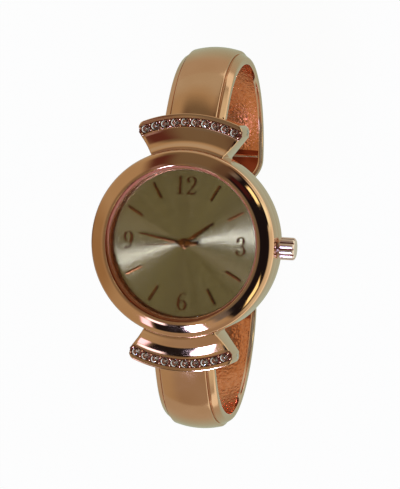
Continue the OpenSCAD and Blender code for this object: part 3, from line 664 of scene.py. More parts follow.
@dataclass(frozen=True)
class PolishedMetal:
    """Bright plated metal with a soft haze and faint polishing lines."""

    name: str
    colour: Colour
    deep: Colour
    low: float = 0.05
    high: float = 0.12
    lines: float = 0.03

    def build(self) -> bpy.types.Material:
        """The finished material.

        Returns:
            The material.
        """
        material, tree = new_material(self.name)
        place = object_place(tree)
        haze = effect(tree, Effect.haze(), {"Vector": place, "Scale": 260.0, "Low": self.low,
                                            "High": self.high})
        lines = effect(tree, Effect.hairlines(), {"Vector": stretched(tree, place, (1, 1, 0.15)),
                                                  "Scale": 5000.0, "Strength": self.lines})
        cloud = add(tree, "TexNoise", {"Vector": place, "Scale": 120.0, "Detail": 2.0})
        share = remap(tree, cloud.outputs[0], 0.35, 0.65, 0.0, 1.0)
        colour = tinted(tree, share, self.colour, self.deep)
        surface(tree, {"Base Color": colour, "Metallic": 1.0, "Roughness": haze.outputs[0],
                       "Normal": lines.outputs["Normal"]})
        return material


@dataclass(frozen=True)
class CastRecess:
    """The bangle's hollow inside: plated cast metal with a pebbled grain, in a redder copy of the
    bangle gold that paints the light bounced inside it, and darker in the grain's hollows as painted
    shade.
    """

    name: str
    colour: Colour
    # The darker colour of the grain's hollows: painted shade.
    hollow: Colour
    depth: float
    low: float = 0.16
    high: float = 0.3

    def build(self) -> bpy.types.Material:
        """The finished material.

        Returns:
            The material.
        """
        material, tree = new_material(self.name)
        place = object_place(tree)
        pebbles = effect(tree, Effect.pebbles(), {"Vector": place, "Scale": 2300.0,
                                                  "Depth": self.depth})
        haze = effect(tree, Effect.haze(), {"Vector": place, "Scale": 700.0, "Low": self.low,
                                            "High": self.high})
        # Painted shade: the colour darkens in the hollows between the pebbles.
        colour = tinted(tree, pebbles.outputs["Hollow"], self.colour, self.hollow)
        surface(tree, {"Base Color": colour, "Metallic": 1.0, "Roughness": haze.outputs[0],
                       "Normal": pebbles.outputs["Normal"]})
        return material


@dataclass(frozen=True)
class SunrayDial:
    """A champagne dial brushed outwards from its centre."""

    name: str
    colour: Colour
    warm: Colour
    low: float = 0.22
    high: float = 0.25

    def build(self) -> bpy.types.Material:
        """The finished material.

        Returns:
            The material.
        """
        material, tree = new_material(self.name)
        place = object_place(tree)
        axes = add(tree, "SeparateXYZ", {0: place})
        angle = maths(tree, "ARCTAN2", axes.outputs[1], axes.outputs[0])
        radius = add(tree, "VectorMath", {0: place}, operation="LENGTH").outputs["Value"]
        spokes = add(tree, "CombineXYZ", {0: maths(tree, "COSINE", angle),
                                          1: maths(tree, "SINE", angle),
                                          2: maths(tree, "MULTIPLY", radius, 2.0)})
        ray = add(tree, "TexNoise", {"Vector": spokes.outputs[0], "Scale": 90.0, "Detail": 6.0,
                                     "Roughness": 0.75})
        broad = add(tree, "TexNoise", {"Vector": spokes.outputs[0], "Scale": 5.0, "Detail": 2.0})
        share = remap(tree, broad.outputs[0], 0.3, 0.7, 0.0, 1.0)
        colour = tinted(tree, share, self.colour, self.warm)
        rough = remap(tree, ray.outputs[0], 0.3, 0.7, self.low, self.high)
        tangent = add(tree, "Tangent", direction_type="RADIAL", axis="Z")
        surface(tree, {"Base Color": colour, "Metallic": 1.0, "Roughness": rough,
                       "Anisotropic": 1.0, "Tangent": tangent.outputs[0]})
        return material


@dataclass(frozen=True)
class SatinMetal:
    """Steel or brass of the inner parts, with a fine grain drawn out one way."""

    name: str
    colour: Colour
    dark: Colour
    low: float = 0.22
    high: float = 0.4
    draw: Place = (0.05, 1, 1)

    def build(self) -> bpy.types.Material:
        """The finished material.

        Returns:
            The material.
        """
        material, tree = new_material(self.name)
        place = object_place(tree)
        drawn = stretched(tree, place, self.draw)
        lines = effect(tree, Effect.hairlines(), {"Vector": drawn, "Scale": 9000.0,
                                                  "Strength": 0.12})
        haze = effect(tree, Effect.haze(), {"Vector": place, "Scale": 500.0, "Low": self.low,
                                            "High": self.high})
        colour = tinted(tree, lines.outputs["Mask"], self.colour, self.dark)
        surface(tree, {"Base Color": colour, "Metallic": 1.0, "Roughness": haze.outputs[0],
                       "Normal": lines.outputs["Normal"]})
        return material


@dataclass(frozen=True)
class Moulded:
    """Plastic, rubber or lacquer with a fine moulded grain."""

    name: str
    colour: Colour
    other: Colour
    low: float
    high: float
    grain: float = 0.1

    def build(self) -> bpy.types.Material:
        """The finished material.

        Returns:
            The material.
        """
        material, tree = new_material(self.name)
        place = object_place(tree)
        haze = effect(tree, Effect.haze(), {"Vector": place, "Scale": 900.0, "Low": self.low,
                                            "High": self.high})
        grain = effect(tree, Effect.hairlines(), {"Vector": place, "Scale": 7000.0,
                                                  "Strength": self.grain})
        surface(tree, {"Base Color": tinted(tree, grain.outputs["Mask"], self.colour, self.other),
                       "Roughness": haze.outputs[0], "Normal": grain.outputs["Normal"]})
        return material


@dataclass(frozen=True)
class WoundWire:
    """Lacquered copper wire in close turns along X."""

    name: str
    colour: Colour
    gap: Colour

    def build(self) -> bpy.types.Material:
        """The finished material.

        Returns:
            The material.
        """
        material, tree = new_material(self.name)
        place = object_place(tree)
        wave = add(tree, "TexWave", {"Vector": place, "Scale": 3000.0, "Distortion": 0.3},
                   wave_type="BANDS", bands_direction="X").outputs[1]
        bump = add(tree, "Bump", {"Strength": 0.5, "Distance": 0.00003, "Height": wave})
        surface(tree, {"Base Color": tinted(tree, wave, self.gap, self.colour), "Metallic": 0.8,
                       "Roughness": remap(tree, wave, 0.0, 1.0, 0.5, 0.28),
                       "Normal": bump.outputs[0]})
        return material


@dataclass(frozen=True)
class ClearGlass:
    """A crystal or a cut stone."""

    name: str
    colour: Colour
    bend: float
    show: float
    speck: float = 0.02

    def build(self) -> bpy.types.Material:
        """The finished material.

        Returns:
            The material.
        """
        material, tree = new_material(self.name)
        haze = effect(tree, Effect.haze(), {"Vector": object_place(tree), "Scale": 400.0,
                                            "Low": 0.0, "High": self.speck})
        surface(tree, {"Base Color": self.colour, "Roughness": haze.outputs[0], "IOR": self.bend,
                       "Transmission Weight": 1.0, "Alpha": self.show})
        return material


class Finishes:
    """Every finish of the watch, built once."""

    def __init__(self) -> None:
        """Builds the materials."""
        self.rose_gold = PolishedMetal(
            "polished rose gold", (0.82, 0.52, 0.36, 1), (0.78, 0.47, 0.31, 1), 0.03, 0.08).build()
        self.bangle_gold = PolishedMetal(
            "bangle outside", (0.8, 0.5, 0.34, 1), (0.74, 0.44, 0.28, 1), 0.1, 0.17).build()
        # A lighter copy of the bangle gold: painted highlight on the arms' rims, the rib and the
        # beads.
        self.rim_gold = PolishedMetal(
            "bangle rim", (1.0, 0.7, 0.56, 1), (0.96, 0.62, 0.49, 1), 0.08, 0.15).build()
        # A redder copy of the bangle gold that paints the light bounced inside the hollow, darker in
        # the grain's hollows as painted shade.
        self.recess = CastRecess(
            "cast inside", (1.0, 0.43, 0.25, 1), (0.86, 0.31, 0.14, 1), 0.5).build()
        # A dark red copy of the gold: painted shade on the bezel's inner wall, the dial ring and the
        # arms' tips.
        self.bowl = PolishedMetal(
            "smooth bowl", (0.42, 0.1, 0.05, 1), (0.32, 0.06, 0.03, 1), 0.12, 0.2).build()
        # A dark copy of the gold: painted shade in the stone channels and the crown's flutes.
        self.seat = PolishedMetal(
            "stone channel", (0.3, 0.09, 0.06, 1), (0.2, 0.05, 0.035, 1), 0.2, 0.35).build()
        # A lighter copy of the rose gold on the crown: painted highlight.
        self.pink = PolishedMetal(
            "crown pink gold", (1.0, 0.84, 0.8, 1), (0.96, 0.76, 0.71, 1), 0.32, 0.4).build()
        self.dial = SunrayDial(
            "sunray champagne", (0.34, 0.29, 0.15, 1), (0.3, 0.25, 0.12, 1)).build()
        self.copper_brown = PolishedMetal(
            "copper brown", (0.21, 0.09, 0.03, 1), (0.15, 0.06, 0.02, 1), 0.16, 0.26).build()
        self.steel = SatinMetal("satin steel", (0.6, 0.61, 0.63, 1), (0.45, 0.46, 0.48, 1)).build()
        self.brass = SatinMetal(
            "satin brass", (0.74, 0.56, 0.27, 1), (0.58, 0.42, 0.18, 1)).build()
        self.plastic = Moulded(
            "white plastic", (0.8, 0.8, 0.76, 1), (0.72, 0.72, 0.68, 1), 0.35, 0.5).build()
        # The white plastic gasket coloured dark red: painted shade at the dial's edge.
        self.gasket = Moulded(
            "tinted gasket", (0.5, 0.18, 0.09, 1), (0.42, 0.14, 0.07, 1), 0.3, 0.45).build()
        self.rubber = Moulded(
            "black rubber", (0.02, 0.02, 0.02, 1), (0.035, 0.035, 0.035, 1), 0.55, 0.75, 0.2).build()
        self.board = Moulded(
            "circuit lacquer", (0.02, 0.1, 0.05, 1), (0.03, 0.16, 0.08, 1), 0.2, 0.35, 0.15).build()
        self.wire = WoundWire("copper wire", (0.75, 0.33, 0.14, 1), (0.2, 0.07, 0.03, 1)).build()
        self.crystal = ClearGlass("clear crystal", (0.97, 0.99, 0.98, 1), 1.45, 0.08).build()
        self.stone = ClearGlass("clear cut stone", (0.86, 0.93, 0.88, 1), 1.75, 1.0, 0.01).build()
        self.slots = {
            "rose_gold": self.rose_gold, "bangle_gold": self.bangle_gold, "crystal": self.crystal,
            "stone": self.stone, "dial_champagne": self.dial, "copper_brown": self.copper_brown,
            "steel": self.steel, "movement_brass": self.brass, "white_plastic": self.plastic,
            "black_rubber": self.rubber, "circuit_green": self.board, "copper_wire": self.wire,
        }

    def dress_frame(self) -> None:
        """Gives each CAD node the finish of its slot in the record."""
        for part in frame["record"]["subparts"]:
            node = frame["nodes"][part["node"]]
            node.data.materials.clear()
            node.data.materials.append(self.slots[part["material_slot"]])


# The watch head

@dataclass(frozen=True)
class Case:
    """The case's turned parts, in millimetres: bezel, middle case, crystal and dial ring."""

    bezel_r: float = 16.5
    seat_z: float = 4.6
    corner: float = 0.35
    crest_r: float = 13.6
    crest_z: float = 8.45
    dome_r: float = 4.35
    dome_lean: float = 31
    wall_lean: float = 80
    shoulder_r: float = 0.95
    lip_r: float = 13.47
    gasket_r: float = 13.45
    shelf_r: float = 12.95
    shelf_z: float = 6.5
    glass_z: float = 6.8
    glass_r: float = 13.1
    glass_t: float = 0.9
    lip_over: float = 0.03
    bore_r: float = 13.9
    spigot_r: float = 14.3
    spigot_z: float = 5.8
    middle_r: float = 16.42
    foot_z: float = 0.9
    foot_chamfer: float = 0.35
    dial_r: float = 12.7
    dial_z: float = 5.5

    def bezel(self) -> bpy.types.Object:
        """The bezel, domed from its lip outwards, with its shelf under the crystal.

        Its inner wall above the crystal gets the second material slot, which takes the dark red
        painted shade.

        Returns:
            The finished piece.
        """
        soft = self.crest_r - self.lip_r
        glass_top = self.glass_z + self.glass_t
        crown = (self.crest_r, self.crest_z - self.dome_r)
        dome = arc(crown, self.dome_r, 90 - self.dome_lean, 90, 28)
        lean = math.radians(self.dome_lean)
        middle = (dome[0][0] - self.shoulder_r * math.sin(lean),
                  dome[0][1] - self.shoulder_r * math.cos(lean))
        shoulder = arc(middle, self.shoulder_r, 90 - self.wall_lean, 90 - self.dome_lean, 18)
        foot = (self.bezel_r - self.corner, self.seat_z + self.corner)
        outline = arc(foot, self.corner, -90, 0, 8)
        outline += shoulder + dome[1:]
        outline += arc((self.crest_r, self.crest_z - soft), soft, 90, 180, 8)[1:]
        outline += [(self.lip_r, glass_top + self.lip_over),
                    (self.gasket_r, glass_top + self.lip_over),
                    (self.gasket_r, self.glass_z), (self.shelf_r, self.glass_z),
                    (self.shelf_r, self.shelf_z), (self.bore_r, self.shelf_z),
                    (self.bore_r, self.spigot_z), (self.spigot_r, self.spigot_z),
                    (self.spigot_r, self.seat_z)]
        piece = lathed("bezel_ring", outline, 240)
        smooth(piece)
        # The inner wall's faces go to slot 1, the dark red painted shade.
        for face in piece.data.polygons:
            spot = face.center / MM
            inner = math.hypot(spot.x, spot.y) < self.crest_r - 0.02
            face.material_index = int(inner and glass_top < spot.z < self.crest_z - 0.03)
        return piece

    def middle(self) -> bpy.types.Object:
        """The middle case with its foot.

        Returns:
            The finished piece.
        """
        foot = self.foot_chamfer
        top = self.spigot_z - 0.05
        outline = rounded([
            (self.bore_r, self.foot_z, 0.05), (self.middle_r - foot, self.foot_z, 0.15),
            (self.middle_r, self.foot_z + foot, 0.2), (self.middle_r, self.seat_z, 0.05),
            (self.spigot_r, self.seat_z, 0), (self.spigot_r, top, 0), (self.bore_r, top, 0),
        ])
        piece = lathed("middle_case", outline, 240)
        smooth(piece)
        return piece

    def crystal(self) -> bpy.types.Object:
        """The flat crystal with its bevelled edge.

        Returns:
            The finished piece.
        """
        top = self.glass_z + self.glass_t
        outline = rounded([
            (0, self.glass_z, 0), (self.glass_r - 0.1, self.glass_z, 0),
            (self.glass_r, self.glass_z, 0.03), (self.glass_r, top - 0.2, 0.05),
            (self.glass_r - 0.2, top, 0.05), (self.glass_r - 0.3, top, 0), (0, top, 0),
        ], 3)
        piece = lathed("flat_crystal", outline, 180)
        smooth(piece)
        return piece

    def dial_ring(self) -> bpy.types.Object:
        """The sloping ring between the dial and the bezel's shelf.

        Returns:
            The finished piece.
        """
        outline = rounded([
            (self.dial_r, self.dial_z, 0.03), (self.bore_r - 0.1, self.dial_z, 0),
            (self.bore_r - 0.1, self.shelf_z, 0), (self.shelf_r, self.shelf_z, 0.05),
        ], 3)
        piece = lathed("dial_ring_polished", outline, 180)
        smooth(piece)
        return piece

    def build(self, finishes: Finishes) -> None:
        """Makes, dresses and fixes the turned parts.

        Args:
            finishes: The watch's finishes.
        """
        bezel = self.bezel()
        coat(bezel, finishes.rose_gold, finishes.bowl)
        fitted(bezel, "case", "rose_gold", None, "bezel")
        fitted(self.middle(), "case", "rose_gold", finishes.rose_gold, "case_middle")
        fitted(self.crystal(), "case", "crystal", finishes.crystal, "crystal")
        # The dial ring takes the dark red painted shade.
        fitted(self.dial_ring(), "case", "rose_gold", finishes.bowl, "dial_ring")
        # The gasket takes the dark red painted shade.
        gasket = merged_copy("crystal_gasket", "gasket_ring")
        fitted(gasket, "case", "white_plastic", finishes.gasket, "crystal_gasket")
        dial = merged_copy("dial", "dial_disc")
        fitted(dial, "case", "dial_champagne", finishes.dial, "dial")


@dataclass(frozen=True)
class Stroke:
    """A pen stroke of a numeral: points along it and its width at each, in units of its height."""

    path: tuple[Flat, ...]
    widths: tuple[float, ...]

    def outline(self, size: float) -> list[Flat]:
        """The closed outline of the stroke at a height of size millimetres.

        Args:
            size: The numeral's height.

        Returns:
            The outline's points.
        """
        left: list[Flat] = []
        right: list[Flat] = []
        last = len(self.path) - 1
        for k, point in enumerate(self.path):
            ahead = Vector(self.path[min(k + 1, last)]) - Vector(self.path[max(k - 1, 0)])
            side = Vector((-ahead.y, ahead.x)).normalized() * self.widths[k] / 2
            left.append(tuple((Vector(point) + side) * size))
            right.append(tuple((Vector(point) - side) * size))
        return left + right[::-1]


def swung(centre: Flat, radii: Flat, start: float, end: float, thin: float, thick: float,
          heavy: float, steps: int = 14) -> Stroke:
    """A stroke along an ellipse's arc, with its width swelling towards one side.

    Args:
        centre: The ellipse's middle.
        radii: Its two radii.
        start: Angle of the stroke's start, in degrees.
        end: Angle of its end.
        thin: Its least width.
        thick: Its greatest width.
        heavy: The angle at which it is thickest.
        steps: Segments along it.

    Returns:
        The stroke.
    """
    path, widths = [], []
    for k in range(steps + 1):
        a = start + (end - start) * k / steps
        path.append((centre[0] + radii[0] * math.cos(math.radians(a)),
                     centre[1] + radii[1] * math.sin(math.radians(a))))
        weight = abs(math.cos(math.radians(a - heavy))) ** 1.6
        widths.append(thin + (thick - thin) * weight)
    return Stroke(tuple(path), tuple(widths))


def ball(centre: Flat, radius: float) -> Stroke:
    """A round terminal.

    Args:
        centre: Its middle.
        radius: Its radius.

    Returns:
        The stroke.
    """
    steps, least = 8, 0.004
    turns = [math.pi * k / steps for k in range(steps + 1)]
    path = tuple((centre[0] - radius * math.cos(a), centre[1]) for a in turns)
    return Stroke(path, tuple(max(2 * radius * math.sin(a), least) for a in turns))


@dataclass(frozen=True)
class Dial:
    """Raised numerals on the dial, in millimetres."""

    top: float = 5.5
    thick: float = 0.16
    sunk: float = 0.02
    centre_r: float = 10.1
    size: float = 3.2

    @staticmethod
    def one() -> list[Stroke]:
        """The strokes of a 1, its foot at the origin.

        Returns:
            The strokes.
        """
        return [
            Stroke(((0, 0.02), (0, 0.95)), (0.13, 0.13)),
            Stroke(((-0.17, 0.02), (0.17, 0.02)), (0.045, 0.045)),
            Stroke(((-0.17, 0.86), (-0.08, 0.89), (0.045, 0.985)), (0.02, 0.05, 0.07)),
        ]

    @staticmethod
    def two() -> list[Stroke]:
        """The strokes of a 2, its middle above the origin.

        Returns:
            The strokes.
        """
        return [
            ball((-0.17, 0.72), 0.075),
            swung((-0.005, 0.72), (0.215, 0.245), 172, -12, 0.04, 0.135, 10),
            Stroke(((0.205, 0.66), (0.13, 0.5), (-0.02, 0.29), (-0.2, 0.075)),
                   (0.13, 0.11, 0.07, 0.04)),
            Stroke(((-0.245, 0.055), (-0.1, 0.075), (0.1, 0.05), (0.2, 0.06), (0.26, 0.22)),
                   (0.1, 0.13, 0.11, 0.07, 0.025)),
        ]

    @staticmethod
    def three() -> list[Stroke]:
        """The strokes of a 3, its middle above the origin.

        Returns:
            The strokes.
        """
        return [
            ball((-0.19, 0.78), 0.065),
            swung((-0.03, 0.76), (0.19, 0.21), 165, -72, 0.035, 0.125, 5),
            swung((-0.03, 0.27), (0.235, 0.255), 82, -165, 0.035, 0.145, -5),
            Stroke(((-0.1, 0.53), (0.04, 0.545)), (0.03, 0.04)),
            ball((-0.2, 0.21), 0.07),
        ]

    @staticmethod
    def six() -> list[Stroke]:
        """The strokes of a 6, its middle above the origin.

        Returns:
            The strokes.
        """
        return [
            swung((0, 0.3), (0.2, 0.27), -90, 270, 0.035, 0.15, 0, 32),
            swung((0.13, 0.34), (0.345, 0.64), 186, 100, 0.04, 0.15, 195, 14),
            ball((0.13, 0.9), 0.055),
        ]

    def digit(self, strokes: list[Stroke], name: str) -> bpy.types.Object:
        """Raises a digit's strokes and joins them into one solid.

        Each stroke is a hair higher than the one before, so that no two level faces meet.

        Args:
            strokes: The digit's strokes.
            name: Name of the digit.

        Returns:
            The solid.
        """
        low, high, hair = self.top - self.sunk, self.top + self.thick, 0.0004
        solids = [raised(f"{name}_stroke", stroke.outline(self.size), low, high + hair * k)
                  for k, stroke in enumerate(strokes)]
        digit = solids[0]
        for solid in solids[1:]:
            worked(digit, solid, "UNION")
        choose(digit)
        return named(name)

    def numerals(self) -> bpy.types.Object:
        """The numerals 12, 3, 6 and 9 as one piece.

        Returns:
            The finished piece.
        """
        middle = self.size / 2

        def put(strokes: list[Stroke], name: str, x: float, y: float,
                turn: float = 0) -> bpy.types.Object:
            """Places a digit with its middle at x, y, turned by turn degrees.

            Args:
                strokes: The digit's strokes.
                name: Name of the digit.
                x: Its middle, to the right.
                y: Its middle, towards 12.
                turn: Its turn, in degrees.

            Returns:
                The digit.
            """
            digit = self.digit(strokes, name)
            spin = Matrix.Rotation(math.radians(turn), 4, "Z")
            move = Matrix.Translation(Vector((x, y, 0)) * MM) @ spin
            digit.data.transform(move @ Matrix.Translation(Vector((0, -middle, 0)) * MM))
            return digit

        r = self.centre_r
        pieces = [
            put(self.one(), "numeral_one", -1.15, r), put(self.two(), "numeral_two", 0.85, r),
            put(self.three(), "numeral_three", r, 0), put(self.six(), "numeral_six", 0, -r),
            put(self.six(), "numeral_nine", -r, 0, 180),
        ]
        piece = one_piece(pieces, "numerals")
        softened(piece, 0.025, 50, 1)
        smooth(piece, 30)
        return piece

    def build(self, finishes: Finishes) -> None:
        """Makes, dresses and fixes the numerals."""
        fitted(self.numerals(), "case", "copper_brown", finishes.copper_brown)


@dataclass(frozen=True)
class Hands:
    """The three hands, in millimetres, each turned clockwise from 12 in degrees."""

    hour_z: float = 5.75
    minute_z: float = 6.15
    seconds_z: float = 6.5
    hour_turn: float = 53.35
    minute_turn: float = 280.2
    seconds_turn: float = 265.0
    thick: float = 0.15
    thin: float = 0.12
    soft: float = 0.03
    fine_soft: float = 0.02
    hub_rise: float = 0.003
    hour_hub: Flat = (0.95, 0.6)
    minute_hub: Flat = (0.75, 0.32)
    seconds_hub: Flat = (0.45, 0.0)

    @staticmethod
    def turned(parts: Sequence[bpy.types.Object], name: str, turn: float,
               soft: float) -> bpy.types.Object:
        """Rounds the parts' edges, joins them and turns them to their place on the dial.

        Args:
            parts: The parts, pointing to 12.
            name: Name of the whole.
            turn: Angle clockwise from 12, in degrees.
            soft: How much the edges are rounded.

        Returns:
            The whole.
        """
        for part in parts:
            softened(part, soft, 40, 2)
        whole = one_piece(parts, name)
        whole.data.transform(Matrix.Rotation(-math.radians(turn), 4, "Z"))
        smooth(whole, 30)
        return whole

    def hand(self, name: str, outline: Sequence[Flat], low: float, high: float, turn: float,
             hub: Flat, soft: float) -> bpy.types.Object:
        """A hand: its blade, raised from an outline that starts within the hub's ring, and its hub.

        The two stay shells of their own, the hub a hair thicker, as their level faces can't be
        joined in the same way each time.

        Args:
            name: Name of the hand.
            outline: The blade's outline, pointing to 12.
            low: Height of its lower face.
            high: Height of its upper face.
            turn: Its angle clockwise from 12, in degrees.
            hub: Outer radius of its hub, and the bore's or 0.
            soft: How much its edges are rounded.

        Returns:
            The hand.
        """
        hub_r, bore_r = hub
        bottom, top = low - self.hub_rise, high + self.hub_rise
        ring = lathed(f"{name}_hub", [(bore_r, bottom), (hub_r, bottom), (hub_r, top),
                                      (bore_r, top)], 48)
        return self.turned([raised(f"{name}_blade", outline, low, high), ring], name, turn, soft)

    def build(self, finishes: Finishes) -> None:
        """Makes, dresses and fixes the hands.

        Args:
            finishes: The watch's finishes.
        """
        hour = [(-0.28, 0.73), (-0.35, 2.2), (-0.2, 6.3), (0.2, 6.3), (0.35, 2.2), (0.28, 0.73)]
        minute = [(-0.21, 0.48), (-0.25, 2.9), (-0.1, 8.2), (0.1, 8.2), (0.25, 2.9), (0.21, 0.48)]
        second = [(-0.1, 0), (-0.05, 8.6), (0.05, 8.6), (0.1, 0)]
        tail = [(-0.35, -2.75), (-0.35, -0.4), (0.35, -0.4), (0.35, -2.75)]
        z = self.hour_z
        piece = self.hand("hour_hand_fine", hour, z, z + self.thick, self.hour_turn,
                          self.hour_hub, self.soft)
        fitted(piece, "hour", "copper_brown", finishes.copper_brown, "hour_hand")
        z = self.minute_z
        piece = self.hand("minute_hand_fine", minute, z, z + self.thick, self.minute_turn,
                          self.minute_hub, self.soft)
        fitted(piece, "minute", "copper_brown", finishes.copper_brown, "minute_hand")
        z = self.seconds_z
        piece = self.hand("seconds_hand_fine", second, z, z + self.thin, self.seconds_turn,
                          self.seconds_hub, self.fine_soft)
        tail_piece = raised("seconds_weight", tail, z, z + self.thin - 0.001)
        weight = self.turned([tail_piece], "seconds_weight", self.seconds_turn, self.fine_soft)
        piece = one_piece([piece, weight], "seconds_hand_fine")
        fitted(piece, "seconds", "copper_brown", finishes.copper_brown, "seconds_hand")


# Lugs

@dataclass(frozen=True)
class Lug:
    """A fan-shaped lug with its channel of stones, in millimetres, for 12 o'clock."""

    outer_r: float = 22.5
    half_w: float = 9.25
    elbow_y: float = 18.9
    root_half_w: float = 6.4
    root_y: float = 15.2
    front_z: float = 5.1
    bottom_z: float = -1.0
    inner_r: float = 15.4
    top_z: float = 6.6
    waist_z: float = 2.0
    cove_c: Flat = (20.23, 9.84)
    cove_r: float = 4.75
    lip_r: float = 19.9
    stone_ring_r: float = 21.0
    channel_half_w: float = 0.77
    channel_depth: float = 0.2
    edge: float = 0.22
    plan_corner: float = 1.3
    wall: float = 1.3
    end_wall: float = 0.5
    floor_r: float = 17.4
    ceiling_z: float = 3.8
    slot_half_w: float = 5.65
    slot_top_z: float = 4.3
    slot_arch_r: float = 14.558
    slot_depth: Flat = (18.4, 40.0)
    stone_r: float = 0.67
    stone_lift: float = 0.12
    seat_play: float = 0.03
    seat_depth: float = 0.45
    seat_top_z: float = 6.0
    bead_r: float = 0.2
    bead_off: float = 0.5
    bead_lift: float = 0.02
    stone_step: float = 4.911
    stone_count: int = 10
    pin_y: float = 19.6
    pin_z: float = 0.4
    pin_r: float = 0.5
    pin_half: float = 12.0

    def side_angle(self, r: float) -> float:
        """The angle from the Y axis, in radians, of the lug's side at radius r.

        Args:
            r: The radius.

        Returns:
            The angle.
        """
        slope = (self.half_w - self.root_half_w) / (self.elbow_y - self.root_y)
        low, high = 0.0, math.radians(60)
        for _ in range(40):
            a = (low + high) / 2
            x, y = r * math.sin(a), r * math.cos(a)
            slanted = self.root_half_w + (y - self.root_y) * slope
            edge_x = min(self.half_w, max(self.root_half_w, slanted))
            low, high = (a, high) if x < edge_x else (low, a)
        a = low
        inside = self.outer_r - self.plan_corner
        if r > inside - 0.2:
            centre_a = math.asin((self.half_w - self.plan_corner) / inside)
            centre = (inside * math.sin(centre_a), inside * math.cos(centre_a))
            reach = math.hypot(*centre)
            cosine = (r * r + reach * reach - self.plan_corner ** 2) / (2 * r * reach)
            a = min(a, centre_a + math.acos(max(-1.0, min(1.0, cosine))))
        return a

    def front(self, r: float) -> float:
        """Height of the front at radius r: the cove, the inner lip, the channel and the rim.

        Args:
            r: The radius.

        Returns:
            The height.
        """
        if abs(r - self.stone_ring_r) < self.channel_half_w:
            return self.front_z - self.channel_depth
        reach = self.cove_r ** 2 - (r - self.cove_c[0]) ** 2
        cove = self.cove_c[1] - math.sqrt(reach) if reach > 0 else self.top_z
        flat = self.front_z if r > self.lip_r else self.top_z
        return min(cove, flat) if r < self.lip_r + 0.3 else self.front_z

    def radii(self) -> list[float]:
        """Radii of the lug's rings, close together where its front turns.

        Returns:
            The radii, from the inside out.
        """
        inner = self.stone_ring_r - self.channel_half_w
        outer = self.stone_ring_r + self.channel_half_w
        start = self.lip_r - 0.5
        radii = [self.inner_r + (start - self.inner_r) * k / 22 for k in range(23)]
        radii += [self.lip_r + d for d in (-0.3, -0.15, -0.05, 0.0, 0.05, 0.15)]
        radii += [inner + d for d in (-0.06, -0.01, 0.01, 0.06, 0.3, 0.5)]
        radii += [outer + d for d in (-0.5, -0.3, -0.06, -0.01, 0.01, 0.06, 0.3)]
        radii.append(self.stone_ring_r)
        for k in range(7):
            radii.append(self.outer_r - self.edge * (1 - math.sin(math.pi / 2 * k / 6)))
        return sorted(radii)

    def rings(self) -> list[Ring]:
        """Loops across the lug at each radius, and one at half height that closes each end.

        Each runs over the front, down the right side, back under the lug and up the left side.

        Returns:
            The loops, from the inside out.
        """
        spread = [math.sin(math.pi / 2 * k / 6) for k in range(7)]
        inner_share = 40
        rings: list[Ring] = []
        for r in self.radii():
            a = self.side_angle(r)
            e = self.edge / r
            across = [-a + e * (1 - s) for s in spread[::-1]]
            across += [(-a + e) + 2 * (a - e) * k / inner_share for k in range(1, inner_share)]
            across += [a - e * (1 - s) for s in spread]
            fall_r = self.edge - min(self.edge, self.outer_r - r)
            ring: Ring = []
            under: Ring = []
            for angle in across:
                gap = max(0.0, (a - abs(angle)) * r)
                fall_a = self.edge - min(self.edge, gap)
                fall = min(self.edge, math.hypot(fall_r, fall_a))
                drop = self.edge - math.sqrt(max(0.0, self.edge ** 2 - fall ** 2))
                x, y = r * math.sin(angle), r * math.cos(angle)
                ring.append((x, y, self.front(r) - drop))
                under.append((x, y, self.bottom_z + drop))
            left, right = ((x, y, self.waist_z) for x, y, _ in (ring[0], ring[-1]))
            rings.append([*ring, right, *under[::-1], left])
        first, last = ([(x, y, self.waist_z) for x, y, _ in rings[k]] for k in (0, -1))
        return [first, *rings, last]

    def fan_prism(self, inset: float, r0: float, r1: float, low: float, high: float,
                  name: str) -> bpy.types.Object:
        """A prism between two radii, set in from the lug's sides.

        Args:
            inset: How far it is set in, in millimetres.
            r0: The inner radius.
            r1: The outer radius.
            low: Height of its lower face.
            high: Height of its upper face.
            name: Name of the prism.

        Returns:
            The prism.
        """
        outline: list[Flat] = []
        for r, way in ((r1, 1), (r0, -1)):
            side = self.side_angle(min(r, self.outer_r - self.plan_corner)) - inset / r
            for k in range(25):
                a = side * (k / 12 - 1) * way
                outline.append((r * math.sin(a), r * math.cos(a)))
        return raised(name, outline, low, high)

    def slot_tool(self) -> bpy.types.Object:
        """The arched slot through which the arm leaves the lug.

        Returns:
            The tool that cuts it.
        """
        half, arch = self.slot_half_w, self.slot_arch_r
        lift = self.slot_top_z - arch
        across = [half - half * k / 10 for k in range(21)]
        top = [(x, lift + math.sqrt(arch ** 2 - x ** 2)) for x in across]
        below = -30.0
        near, far = self.slot_depth
        tool = raised("slot_tool", [(-half, below), (half, below), *top], -far, -near)
        tool.data.transform(Matrix.Rotation(math.pi / 2, 4, "X"))
        return tool

    def stone_spots(self, height: float) -> list[Matrix]:
        """Each stone's place on its ring, at a height in millimetres.

        Args:
            height: The height.

        Returns:
            A matrix for each stone.
        """
        out = Matrix.Translation(Vector((0, self.stone_ring_r, height)) * MM)
        middle = (self.stone_count - 1) / 2
        turns = [math.radians((k - middle) * self.stone_step) for k in range(self.stone_count)]
        return [Matrix.Rotation(turn, 4, "Z") @ out for turn in turns]

